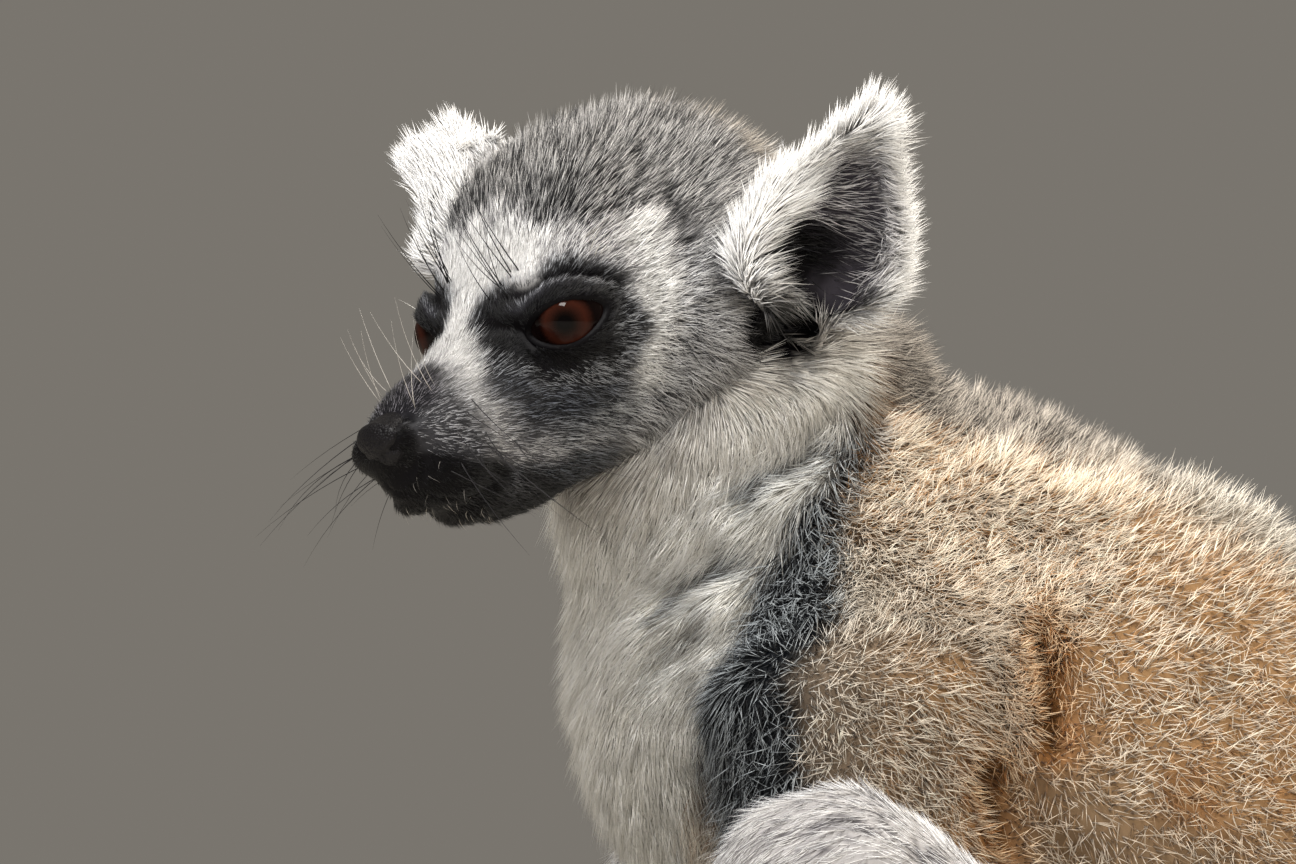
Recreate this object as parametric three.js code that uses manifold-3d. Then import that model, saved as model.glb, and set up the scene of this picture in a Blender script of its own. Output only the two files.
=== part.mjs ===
// Ring-tailed lemur (Lemur catta), a still life-size figure: it sits hunched on its rump, knees up, hands and
// feet on the ground, head turned to its left. Millimetres, +Z up. The trunk faces -Y and +X is the lemur's left.
// The origin is the middle of the flat that it sits on. Every outline is that of the coat, not of the bare skin.
import * as THREE from "three";
import { mergeVertices } from "three/addons/utils/BufferGeometryUtils.js";
import Module from "manifold-3d";

const wasm = await Module();
wasm.setup();

// ---- Driving dimensions ----
const GAP = 0.3; // clear space between two neighbouring pieces
const HEAD_AT = [24, -162.5, 240.5]; // the point midway between the eyes
const HEAD_TURN = 32; // degrees to the lemur's left
const HEAD_NOD = 13; // degrees nose down
const HEAD_TILT = -4; // degrees, left side up
const EYE_RADIUS = 8.2;
const EYE_AT = [15, 1.2, 0.3]; // the left eyeball's centre, from the point between the eyes
const EAR_LENGTH = 46.5;
const EAR_WALL = 4.4; // with its short fur
const SHOULDER = [38, -103, 172];
const ELBOW = [42, -92, 86];
const WRIST = [34, -160, 17];
const HIP = [28, -2, 48];
const KNEE = [86, -117, 137];
const ANKLE = [56, -60, 27];
const RIGHT_KNEE_BACK = 12; // the right leg is drawn back a little more than the left
const RIGHT_KNEE_DROP = 5;
const FINGER_LENGTH = 31;
const TOE_LENGTH = 30;
const TAIL_RADIUS = 17;
const TAIL_PIECES = 5;
const GROUND_CUT = 1.0; // how much of each resting part is flat
const SLIVER = 0.18; // detail finer than this is dropped

// ---- Small helpers ----
const vec = (a) => new THREE.Vector3(...a);
const mirrored = (a, side) => [a[0] * side, a[1], a[2]];
const mix = (a, b, t) => a.map((v, i) => v + (b[i] - v) * t);
const spline = (points) => new THREE.CatmullRomCurve3(points, false, "catmullrom", 0.5);

// A closed surface from rings of points, each ring in turn along the piece, with a fan over each end.
function surfaceOfRings(rings) {
  const sides = rings[0].length;
  const points = rings.flat();
  const index = [];
  const at = (ring, side) => ring * sides + (side % sides);
  for (let r = 0; r + 1 < rings.length; r++) {
    for (let s = 0; s < sides; s++) {
      index.push(at(r, s), at(r + 1, s), at(r + 1, s + 1));
      index.push(at(r, s), at(r + 1, s + 1), at(r, s + 1));
    }
  }
  for (const [ring, order] of [[0, 1], [rings.length - 1, -1]]) {
    const middle = new THREE.Vector3();
    rings[ring].forEach((p) => middle.addScaledVector(p, 1 / sides));
    const hub = points.push(middle) - 1;
    for (let s = 0; s < sides; s++) {
      const pair = [at(ring, s), at(ring, s + 1)];
      if (order < 0) pair.reverse();
      index.push(hub, ...pair);
    }
  }
  return new THREE.BufferGeometry().setFromPoints(points).setIndex(index);
}

// Sweeps an egg-shaped section along a smooth path. Each station has its place and its half-sizes: wide to
// either side, up towards the back, down towards the belly. up is the direction that "up" leans to. Sections
// stand square to the path, or to the direction along where one is given. swell moves the surface in or out.
function sweep(spec, grow = 0) {
  const { stations, up = [0, 0, 1], along, rings = 6, sides = 10, capRings = 2, caps = [1, 1], swell } = spec;
  const path = spline(stations.map((s) => vec(s.at)));
  const sizes = spline(stations.map((s) => new THREE.Vector3(s.wide, s.up ?? s.wide, s.down ?? s.up ?? s.wide)));
  const made = [];
  const addRing = (t, bulge, scale) => {
    const centre = path.getPoint(t);
    const forward = along ? vec(along) : path.getTangent(t);
    const size = sizes.getPoint(t).addScalar(grow);
    const dorsal = vec(up).addScaledVector(forward, -vec(up).dot(forward)).normalize();
    const lateral = new THREE.Vector3().crossVectors(forward, dorsal);
    centre.addScaledVector(forward, bulge * Math.min(size.x, (size.y + size.z) / 2));
    const ring = [];
    for (let s = 0; s < sides; s++) {
      const angle = (2 * Math.PI * s) / sides;
      const height = Math.sin(angle) * (Math.sin(angle) > 0 ? size.y : size.z);
      const p = centre.clone();
      p.addScaledVector(lateral, Math.cos(angle) * size.x * scale);
      p.addScaledVector(dorsal, height * scale);
      if (swell) p.addScaledVector(p.clone().sub(centre).normalize(), swell(p) * scale);
      ring.push(p);
    }
    made.push(ring);
  };
  const capAngle = (k) => (k / (capRings + 0.6)) * (Math.PI / 2);
  for (let k = capRings; k > 0 && caps[0]; k--) addRing(0, -Math.sin(capAngle(k)) * caps[0], Math.cos(capAngle(k)));
  for (let r = 0; r < rings; r++) addRing(r / (rings - 1), 0, 1);
  for (let k = 1; k <= capRings && caps[1]; k++) addRing(1, Math.sin(capAngle(k)) * caps[1], Math.cos(capAngle(k)));
  return surfaceOfRings(made);
}

// three.js geometry to a solid that can be cut, and back.
function solidOf(geometry) {
  const bare = geometry.clone();
  bare.deleteAttribute("normal");
  bare.deleteAttribute("uv");
  const merged = mergeVertices(bare, 1e-4);
  return new wasm.Manifold(
    new wasm.Mesh({
      numProp: 3,
      vertProperties: merged.attributes.position.array,
      triVerts: new Uint32Array(merged.index.array),
    }),
  );
}

function geometryOf(solid) {
  const mesh = solid.getMesh();
  const geometry = new THREE.BufferGeometry();
  geometry.setAttribute("position", new THREE.BufferAttribute(mesh.vertProperties, 3));
  geometry.setIndex(new THREE.BufferAttribute(mesh.triVerts, 1));
  geometry.computeVertexNormals();
  return geometry;
}

const largest = (solid) => solid.decompose().reduce((a, b) => (a.volume() > b.volume() ? a : b));

// Cuts a piece back from its neighbours, which are given a little larger than they are, and from the ground,
// then drops the slivers that the cuts leave.
function carve(solid, cutters) {
  return largest(cutters.reduce((left, cutter) => left.subtract(cutter), solid)).simplify(SLIVER);
}

// Keeps what lies on the side of a plane that its normal points to, less half of the gap.
function trimmed(solid, at, normal) {
  const n = vec(normal).normalize();
  return solid.trimByPlane(n.toArray(), vec(at).dot(n) + GAP / 2);
}

// The plane that halves the bend at a joint: its normal points to the nearer limb's start.
function bendNormal(before, joint, after) {
  const back = vec(before).sub(vec(joint)).normalize();
  const on = vec(after).sub(vec(joint)).normalize();
  return back.sub(on).toArray();
}
const reversed = (a) => a.map((v) => -v);

const GROUND_SIZE = 1600;
const groundBox = new THREE.BoxGeometry(GROUND_SIZE, GROUND_SIZE, GROUND_SIZE);
groundBox.translate(0, 0, -GROUND_SIZE / 2);
const ground = solidOf(groundBox);

const material = (color, roughness) => new THREE.MeshStandardMaterial({ color, roughness, metalness: 0 });

const FUR = {
  grey: material(0x8b8680, 0.9),
  buff: material(0xa8937a, 0.9),
  white: material(0xe6e2d8, 0.9),
  black: material(0x1d1b1c, 0.9),
  pale: material(0xb9b6b0, 0.9),
};
const IRIS = material(0x8a3a12, 0.1);
const NOSE_LEATHER = material(0x161417, 0.45);

function node(name, solid, finish) {
  const mesh = new THREE.Mesh(geometryOf(solid), finish);
  mesh.name = name;
  return mesh;
}

// ---- Head, in its own frame: the face looks along -Y, from the point between the eyes ----
const HEAD = {
  stations: [
    { at: [0, -34, -16], wide: 8, up: 7, down: 8 }, // muzzle's tip
    { at: [0, -29, -14.8], wide: 11.2, up: 10, down: 14.8 }, // whisker pads
    { at: [0, -18, -13], wide: 14.5, up: 13, down: 20 }, // bridge
    { at: [0, -6, -6.5], wide: 19.3, up: 18.3, down: 27 }, // eyes
    { at: [0, 6, -2], wide: 25, up: 27, down: 29.5 }, // brow
    { at: [0, 22, 0], wide: 32, up: 32.5, down: 33 }, // temples and cheeks
    { at: [0, 40, 0], wide: 33, up: 35, down: 29 }, // crown
    { at: [0, 54, -3], wide: 25, up: 29, down: 20 }, // back of the head
  ],
  along: [0, 1, 0],
  rings: 15,
  sides: 20,
  capRings: 3,
  caps: [0.5, 0.4],
};

// Bulges and hollows of the face: a soft bump of that height and reach, the same on both sides.
const FACE_BUMPS = [
  { at: [17, 0, 13], height: 2, reach: 8 }, // brow ridge
  { at: [25, 14, -14], height: 2.5, reach: 12 }, // cheek ruff
  { at: [12, -14, -3], height: -2, reach: 6 }, // hollow in front of the eye
  { at: [9.5, -26.5, -19], height: 1.4, reach: 6 }, // whisker pad
  { at: [20, -4, 0.3], height: -2.4, reach: 7 }, // eye socket
  { at: [14.5, 9, 22.5], height: 4.2, reach: 9.5 }, // forehead's boss
  { at: [11, 21, 31], height: 3.2, reach: 9 }, // side of the crown
  { at: [16, 54, 19], height: 2.8, reach: 9 }, // back of the crown
];

function faceBump(p) {
  let sum = 0;
  for (const { at, height, reach } of FACE_BUMPS) {
    for (const side of [1, -1]) {
      sum += height * Math.exp(-p.distanceToSquared(vec(mirrored(at, side))) / (reach * reach));
    }
  }
  return sum;
}

const headSurface = (grow) => solidOf(sweep({ ...HEAD, swell: faceBump }, grow));

const NOSE = {
  stations: [
    { at: [0, -36, -14], wide: 5.4, up: 4.4, down: 4.6 },
    { at: [0, -30.5, -13.2], wide: 6.4, up: 5.2, down: 5 },
  ],
  rings: 2,
  sides: 12,
  caps: [0.55, 0.4],
};

// The pinna: a cupped leaf. height runs from its root to its tip, turn from its rear rim to its front rim, and
// wall is the distance out from its hollow face.
const EAR = {
  left: {
    root: [30, 40.5, -5.5],
    tip: [0.7, 0.08, 0.71], // the way it points
    opens: [0.95, -0.27, -0.1], // the way its hollow faces
    halfWidth: [8, 15.5, 14.5, 11, 5], // at even steps from root to tip
  },
  right: { // pricked higher and turned back
    root: [32, 40, -5],
    tip: [0.38, -0.22, 0.9],
    opens: [1, 0.3, -0.1],
    halfWidth: [8, 13, 14.5, 13, 7],
  },
  curl: [100, 85, 68, 52, 45], // half the angle that the cup wraps, in degrees
};
const EAR_LEVELS = 8;
const EAR_TURNS = 6;

function earPoint(height, turn, wall, side) {
  const plan = side > 0 ? EAR.left : EAR.right;
  const tip = vec(mirrored(plan.tip, side)).normalize();
  const opens = vec(mirrored(plan.opens, side));
  opens.addScaledVector(tip, -opens.dot(tip)).normalize();
  const across = new THREE.Vector3().crossVectors(opens, tip).multiplyScalar(side);
  const shape = spline(plan.halfWidth.map((w, i) => new THREE.Vector3(w, EAR.curl[i], 0))).getPoint(height);
  const curl = THREE.MathUtils.degToRad(shape.y);
  const radius = shape.x / Math.sin(Math.min(curl, Math.PI / 2));
  const centre = vec(mirrored(plan.root, side)).addScaledVector(tip, EAR_LENGTH * height);
  const thick = wall * Math.sqrt(Math.max(0.12, 1 - height ** 4));
  return centre
    .addScaledVector(across, (radius + thick) * Math.sin(turn * curl))
    .addScaledVector(opens, radius * 0.55 - (radius + thick) * Math.cos(turn * curl));
}

function ear(side, grow = 0) {
  const rings = [];
  for (let level = 0; level < EAR_LEVELS; level++) {
    const height = level / (EAR_LEVELS - 1);
    const outer = [];
    const inner = [];
    for (let k = 0; k < EAR_TURNS; k++) {
      const turn = (2 * k) / (EAR_TURNS - 1) - 1;
      outer.push(earPoint(height, turn, EAR_WALL + grow, side));
      inner.push(earPoint(height, turn, -grow, side));
    }
    const ring = [...inner, ...outer.reverse()];
    rings.push(side > 0 ? ring : ring.reverse());
  }
  return solidOf(surfaceOfRings(rings));
}

function eyeball(side, grow = 0) {
  const ball = new THREE.SphereGeometry(EYE_RADIUS + grow, 12, 8);
  return solidOf(ball.translate(...mirrored(EYE_AT, side)));
}

const headGroup = new THREE.Group();
headGroup.position.set(...HEAD_AT);
headGroup.rotation.set(...[HEAD_NOD, HEAD_TILT, HEAD_TURN].map(THREE.MathUtils.degToRad), "ZXY");
headGroup.updateMatrix();
const placed = (solid) => solid.transform(headGroup.matrix.elements);

const noseSocket = solidOf(sweep(NOSE, GAP));
const headSolid = carve(headSurface(0), [eyeball(1, GAP), eyeball(-1, GAP), noseSocket]);
const headGrown = headSurface(GAP);
headGroup.add(node("head", headSolid, FUR.grey));
headGroup.add(node("nose", solidOf(sweep(NOSE)), NOSE_LEATHER));
for (const [side, name] of [[1, "left"], [-1, "right"]]) {
  headGroup.add(node(`eye_${name}`, eyeball(side), IRIS));
  headGroup.add(node(`ear_${name}`, carve(ear(side), [headGrown]), FUR.white));
}

// ---- Trunk and neck: one sweep from the rump to inside the head, cut across at the base of the neck ----
const BODY = {
  stations: [
    { at: [0, 0, 34], wide: 43, up: 37, down: 37 }, // rump
    { at: [0, 4, 64], wide: 50, up: 44, down: 42 }, // pelvis
    { at: [0, -1, 104], wide: 52, up: 50, down: 50 }, // belly
    { at: [0, -21, 140], wide: 50, up: 60, down: 54 }, // loin, the top of the hump
    { at: [0, -63, 164], wide: 47, up: 60, down: 63 }, // ribs
    { at: [0, -99, 186], wide: 42, up: 53, down: 60 }, // shoulders and breast
    { at: [2, -117, 209], wide: 34, up: 46, down: 38 }, // base of the neck
    { at: [5, -123, 228], wide: 30, up: 43, down: 33 }, // neck
    { at: [6, -126, 240], wide: 26, up: 32, down: 24 }, // inside the head
  ],
  up: [0, 1, 1],
  rings: 19,
  sides: 22,
  capRings: 3,
  caps: [1.06, 0.4],
};
const NECK_BASE = { at: [0, -115, 209], normal: [0, -0.467, 0.884] };

const body = solidOf(sweep(BODY));
const bodyGrown = solidOf(sweep(BODY, GAP));
const headCutters = [placed(headGrown), placed(ear(1, GAP)), placed(ear(-1, GAP))];
const trunk = carve(trimmed(body, NECK_BASE.at, reversed(NECK_BASE.normal)), [ground, ...headCutters]);
const neck = carve(trimmed(body, NECK_BASE.at, NECK_BASE.normal), headCutters);

// ---- Limbs: each is made for one side, +1 for the left and -1 for the right ----
const limb = (points, widths, extra) => ({
  stations: points.map((at, i) => ({ at, wide: widths[i][0], up: widths[i][1] ?? widths[i][0] })),
  ...extra,
});

function digit(from, to, radius) {
  const knuckle = mix(from, to, 0.45);
  knuckle[2] += radius * 0.5;
  const widths = [[radius], [radius * 0.95], [radius * 0.8]];
  return solidOf(sweep(limb([from, knuckle, to], widths, { rings: 3, sides: 6, capRings: 1 })));
}

// Digits fan out from the end of a palm or sole, the thumb or great toe from its inner edge.
function spread(root, heading, fan, length, radius, side) {
  const digits = [];
  for (const place of [-1.5, -0.5, 0.5, 1.5]) {
    const angle = THREE.MathUtils.degToRad(heading + place * fan) * side;
    const start = [root[0] + place * radius * 1.75 * side, root[1], radius];
    const reach = length * (1 - 0.09 * Math.abs(place));
    const tip = [start[0] + Math.sin(angle) * reach, start[1] - Math.cos(angle) * reach, radius * 0.7 - GROUND_CUT];
    digits.push(digit(start, tip, radius));
  }
  return digits;
}

const joined = (solids) => solids.reduce((a, b) => a.add(b));

function hand(side) {
  const wrist = mirrored(WRIST, side);
  const knuckles = [wrist[0] - 3 * side, wrist[1] - 29, 6.5 - GROUND_CUT];
  const palm = limb([wrist, mix(wrist, knuckles, 0.5), knuckles], [[10, 9.5], [12, 8.5], [13, 6.5]], { rings: 4, sides: 8, caps: [1, 0.8] });
  const thumbRoot = [knuckles[0] - 8 * side, knuckles[1] + 12, 6];
  const thumb = digit(thumbRoot, [thumbRoot[0] - 17 * side, thumbRoot[1] - 15, 3.2], 4.3);
  return joined([solidOf(sweep(palm)), thumb, ...spread(knuckles, -6, 11, FINGER_LENGTH, 4.2, side)]);
}

function foot(side) {
  const ankle = mirrored(ANKLE, side);
  const heel = [ankle[0], ankle[1] + 6, 10 - GROUND_CUT];
  const sole = [ankle[0] + 5 * side, ankle[1] - 50, 8 - GROUND_CUT];
  const body = limb([heel, mix(heel, sole, 0.5), sole], [[10, 10.5], [12, 10], [14.5, 8]], { rings: 5, sides: 8, caps: [0.8, 0.8] });
  const joint = limb([[heel[0], ankle[1], 12], ankle], [[11.5], [11]], { up: [0, 1, 0], rings: 2 });
  const greatRoot = [sole[0] - 8 * side, sole[1] + 16, 7];
  const great = digit(greatRoot, [greatRoot[0] - 22 * side, greatRoot[1] - 20, 4.4], 6);
  return joined([solidOf(sweep(body)), solidOf(sweep(joint)), great, ...spread(sole, 8, 9, TOE_LENGTH, 4.8, side)]);
}

const root = new THREE.Group();
root.name = "ring_tailed_lemur";
root.add(headGroup);
root.add(node("trunk", trunk, FUR.buff));
root.add(node("neck", neck, FUR.grey));

for (const [side, name] of [[1, "left"], [-1, "right"]]) {
  const [shoulder, elbow, wrist] = [SHOULDER, ELBOW, WRIST].map((p) => mirrored(p, side));
  const [hip, knee, ankle] = [HIP, KNEE, ANKLE].map((p) => mirrored(p, side));
  if (side < 0) {
    knee[1] += RIGHT_KNEE_BACK;
    knee[2] -= RIGHT_KNEE_DROP;
  }
  const upperArm = limb([shoulder, mix(shoulder, elbow, 0.5), elbow], [[21, 33], [18, 27], [14, 16]], { up: [0, 1, 0] });
  const forearm = limb([elbow, mix(elbow, wrist, 0.4), wrist], [[14, 16], [13.5, 14.5], [10, 9.5]], { up: [0, 0.6, 1] });
  const thigh = limb([hip, mix(hip, knee, 0.5), knee], [[33, 36], [27, 33], [22, 24]], { up: [0, 0.4, 1], sides: 14, capRings: 3 });
  const shank = limb([knee, mix(knee, ankle, 0.35), ankle], [[21, 22], [15.5, 20], [11, 11]], { up: [0, 1, 0], sides: 12, capRings: 3 });
  const kneePlane = bendNormal(hip, knee, ankle);
  const elbowPlane = bendNormal(shoulder, elbow, wrist);
  const wristPlane = bendNormal(elbow, wrist, [wrist[0], wrist[1] - 20, wrist[2] - 8]);
  const anklePlane = [0, 0, 1];
  const solid = (spec, grow) => solidOf(sweep(spec, grow));
  const torso = [ground, bodyGrown, placed(headGrown)];

  const thighSolid = carve(trimmed(solid(thigh), knee, kneePlane), torso);
  const shankBelow = trimmed(solid(shank), knee, reversed(kneePlane));
  const shankSolid = carve(trimmed(shankBelow, ankle, anklePlane), torso);
  const legs = [solid(thigh, GAP), solid(shank, GAP)];
  const upperArmSolid = carve(trimmed(solid(upperArm), elbow, elbowPlane), [...torso, ...legs]);
  const forearmBelow = trimmed(solid(forearm), elbow, reversed(elbowPlane));
  const forearmSolid = carve(trimmed(forearmBelow, wrist, wristPlane), [...torso, ...legs]);
  const footSolid = carve(trimmed(foot(side), ankle, reversed(anklePlane)), [ground, ...legs.slice(0, 1)]);
  const handSolid = carve(trimmed(hand(side), wrist, reversed(wristPlane)), [ground]);
  root.add(node(`thigh_${name}`, thighSolid, FUR.pale));
  root.add(node(`upper_arm_${name}`, upperArmSolid, FUR.grey));
  root.add(node(`shank_${name}`, shankSolid, FUR.pale));
  root.add(node(`forearm_${name}`, forearmSolid, FUR.pale));
  root.add(node(`foot_${name}`, footSolid, FUR.pale));
  root.add(node(`hand_${name}`, handSolid, FUR.pale));
}

// ---- Tail: it leaves the rump, comes down and lies on the ground in one open curve to the lemur's right ----
const TAIL_PATH = [
  [0, 30, 36],
  [-1, 56, 22],
  [-8, 94, TAIL_RADIUS - GROUND_CUT],
  [-46, 158, TAIL_RADIUS - GROUND_CUT],
  [-118, 172, TAIL_RADIUS - GROUND_CUT],
  [-180, 126, TAIL_RADIUS - GROUND_CUT],
  [-202, 40, TAIL_RADIUS - GROUND_CUT],
  [-186, -50, TAIL_RADIUS - GROUND_CUT],
  [-144, -122, TAIL_RADIUS - GROUND_CUT],
];
const tailLine = spline(TAIL_PATH.map(vec));
const tailRadius = (t) => TAIL_RADIUS * Math.min(1, 0.72 + 1.6 * t);

// One length of the tail: made a little long and then cut across where it meets the next.
function tailPiece(k) {
  const STEPS = 8;
  const first = k === 0;
  const last = k + 1 === TAIL_PIECES;
  const from = (k - (first ? 0 : 0.1)) / TAIL_PIECES;
  const to = (k + (last ? 1 : 1.1)) / TAIL_PIECES;
  const stations = [];
  for (let i = 0; i < STEPS; i++) {
    const t = from + ((to - from) * i) / (STEPS - 1);
    stations.push({ at: tailLine.getPointAt(t).toArray(), wide: tailRadius(t) });
  }
  let piece = solidOf(sweep({ stations, rings: STEPS, sides: 10, caps: [0, last ? 1.3 : 0] }));
  const cutAt = (t, way) => {
    const heading = tailLine.getTangentAt(t).multiplyScalar(way).toArray();
    piece = trimmed(piece, tailLine.getPointAt(t).toArray(), heading);
  };
  if (!first) cutAt(k / TAIL_PIECES, 1);
  if (!last) cutAt((k + 1) / TAIL_PIECES, -1);
  return piece;
}

for (let k = 0; k < TAIL_PIECES; k++) {
  const cutters = [ground, ...(k === 0 ? [bodyGrown] : [])];
  root.add(node(`tail_${k + 1}`, carve(tailPiece(k), cutters), k % 2 ? FUR.black : FUR.white));
}

export default root;
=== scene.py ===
"""A ring-tailed lemur, life size, sitting hunched with its knees up and its head turned to its left.

One skin covers the whole animal. The coat is solid tufts rooted in it, about 360,000 in eleven pieces.
Shapes are worked out in millimetres, in the frame's own axes: +Z up, the trunk faces -Y, +X is its left.
"""
import itertools
import math

import bpy
import numpy as np
from mathutils import Matrix, Vector


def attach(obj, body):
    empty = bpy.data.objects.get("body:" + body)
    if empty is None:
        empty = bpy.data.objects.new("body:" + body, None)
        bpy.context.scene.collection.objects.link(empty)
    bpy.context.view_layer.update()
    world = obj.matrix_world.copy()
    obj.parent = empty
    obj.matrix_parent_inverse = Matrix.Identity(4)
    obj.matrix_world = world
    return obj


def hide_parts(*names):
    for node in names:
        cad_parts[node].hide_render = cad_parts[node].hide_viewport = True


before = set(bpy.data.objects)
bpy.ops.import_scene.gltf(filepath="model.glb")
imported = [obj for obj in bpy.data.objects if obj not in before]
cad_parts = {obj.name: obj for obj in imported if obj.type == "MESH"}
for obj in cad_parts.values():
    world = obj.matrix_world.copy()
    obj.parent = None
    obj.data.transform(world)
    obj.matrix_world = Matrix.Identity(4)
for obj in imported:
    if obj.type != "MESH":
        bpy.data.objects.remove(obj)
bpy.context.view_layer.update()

# ---- Driving sizes, in millimetres and degrees ----
MM = 0.001  # metres in a millimetre
HEAD_AT = np.array((24, -162.5, 240.5))  # the point midway between the eyes
HEAD_TURN = 32  # to the lemur's left
HEAD_NOD = 13  # nose down
HEAD_TILT = -4  # left side up
EYE_RADIUS = 8.2
EYE_AT = np.array((15, 1.2, 0.3))  # from the point between the eyes
GAZE_OUT = 42  # how far each eye looks to its own side
EAR_LENGTH = 39  # of the pinna itself, without its fringe
SHOULDER = (38, -103, 172)
ELBOW = (42, -92, 86)
WRIST = (34, -160, 17)
HIP = (28, -2, 48)
KNEE = (86, -117, 137)
ANKLE = (56, -60, 27)
RIGHT_KNEE = (86, -105, 132)  # a mirrored place: the right leg is drawn back a little
FINGER_LENGTH = 31
TOE_LENGTH = 30
TAIL_RADIUS = 17  # with its fur
FLOOR_CUT = 1.0  # how far each resting part is pressed into the floor
SKIN_GAP = 0.05  # no skin comes nearer to the floor
SIDES = (("left", 1), ("right", -1))
BODY_VOXEL = 2.2  # how fine the body's skin is
PAW_VOXEL = 1.15


# ---- Small sums on arrays of points ----
def unit(v):
    """Each vector divided by its own length."""
    return v / np.maximum(np.linalg.norm(v, axis=-1, keepdims=True), 1e-9)


def dot(a, b):
    """The scalar product of each pair of vectors, kept as a column."""
    return np.sum(a * b, axis=-1, keepdims=True)


def square_to(v, axis):
    """The part of each vector that is square to an axis of length 1."""
    return v - dot(v, axis) * axis


def smooth(low, high, x):
    """A soft step: 0 at low, 1 at high, and 3s^2 - 2s^3 of the share s between them."""
    share = np.clip((x - low) / (high - low), 0, 1)
    return share * share * (3 - 2 * share)


def bell(x, width):
    """A bell curve: e to the power of minus the square of x over width."""
    return np.exp(-((x / width) ** 2))


def mix(a, b, share):
    """The point that share of the way from a to b."""
    return np.asarray(a, float) * (1 - share) + np.asarray(b, float) * share


def mirrored(a, side):
    """The same place on the left, side +1, or on the right, side -1."""
    return np.asarray(a, float) * (side, 1, 1)


def on_left(p):
    """The same places, with those on the right mirrored over to the left."""
    return p * np.where(p[..., :1] < 0, (-1, 1, 1), (1, 1, 1))


def catmull(points, t):
    """A Catmull-Rom curve of tension a half through evenly numbered points, t from 0 to 1 over all of it:
    on each span a cubic whose end slopes are half of the step between the neighbours on either side."""
    p = np.asarray(points, float)
    p = np.vstack([2 * p[0] - p[1], p, 2 * p[-1] - p[-2]])
    place = np.clip(t, 0, 1) * (len(p) - 3)
    k = np.minimum(place.astype(int), len(p) - 4)
    w = (place - k)[..., None]
    slope_a = (p[k + 2] - p[k]) / 2
    slope_b = (p[k + 3] - p[k + 1]) / 2
    step = p[k + 2] - p[k + 1]
    bend = slope_a + slope_b - 2 * step
    return p[k + 1] + w * (slope_a + w * (3 * step - 2 * slope_a - slope_b + w * bend))


def noise(points, wavelength, seed, waves=12):
    """Smooth noise of about -1 to 1: sine waves that run in random directions, added up and divided by the
    square root of their number."""
    rng = np.random.default_rng(seed)
    way = unit(rng.normal(size=(waves, 3)))
    turns = 2 * math.pi / (wavelength * rng.uniform(0.7, 1.5, (waves, 1)))
    start = rng.uniform(0, 2 * math.pi, waves)
    return np.sin(points @ (way * turns).T + start).sum(-1) / math.sqrt(waves)


def hashed(index, salt):
    """A random number from 0 to 1 that depends only on three whole numbers and a salt: what follows the
    decimal point in a large sine."""
    big = np.sin(index @ np.array((12.9898, 78.233, 37.719)) + salt * 4.1414) * 43758.5453
    return big - np.floor(big)


HEAD_TURNS = np.array(
    Matrix.Rotation(math.radians(HEAD_TURN), 3, "Z")
    @ Matrix.Rotation(math.radians(HEAD_NOD), 3, "X")
    @ Matrix.Rotation(math.radians(HEAD_TILT), 3, "Y")
)


def from_head(p):
    """From the head's own axes, where the face looks along -Y, to the frame's."""
    return p @ HEAD_TURNS.T + HEAD_AT


def to_head(p):
    """From the frame's axes to the head's own."""
    return (p - HEAD_AT) @ HEAD_TURNS


# ---- Swept shapes: an egg-shaped section carried along a smooth path ----
def shape(at, size, up=(0, 0, 1), along=None, caps=(1, 1), bare_below=1.0):
    """at is the path's stations. size is the half-width, the half-height up and down, and the coat's depth
    at each. up is the way that "up" leans. along fixes the sections' direction. caps are how far the two ends
    bulge. bare_below is the share of the coat's depth that the underside has."""
    return {"at": np.array(at, float), "size": np.array(size, float), "up": np.array(up, float),
            "along": along, "caps": caps, "bare_below": bare_below}


def limb(points, half_sizes, coats, **more):
    """A shape whose sections are ellipses: half_sizes is (wide, high) and coats the coat's depth at each
    point."""
    size = [(wide, high, high, coat) for (wide, high), coat in zip(half_sizes, coats)]
    return shape(points, size, **more)


def sections(spec, t):
    """The centre, sizes and axes of the sections at t: forward runs along the path, dorsal is "up" less its
    part along the path, and lateral is square to both."""
    centre = catmull(spec["at"], t)
    if spec["along"] is None:
        ahead = catmull(spec["at"], np.minimum(t + 1e-3, 1))
        forward = unit(ahead - catmull(spec["at"], np.maximum(t - 1e-3, 0)))
    else:
        forward = np.broadcast_to(np.array(spec["along"], float), centre.shape)
    dorsal = unit(square_to(spec["up"], forward))
    return centre, catmull(spec["size"], t), forward, dorsal, np.cross(forward, dorsal)


def fleshed(spec, size):
    """The sections' half-width and half-heights up and down, less the coat's depth."""
    wide, up, down, coat = size.T
    return wide - coat, up - coat, down - coat * spec["bare_below"]


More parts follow.
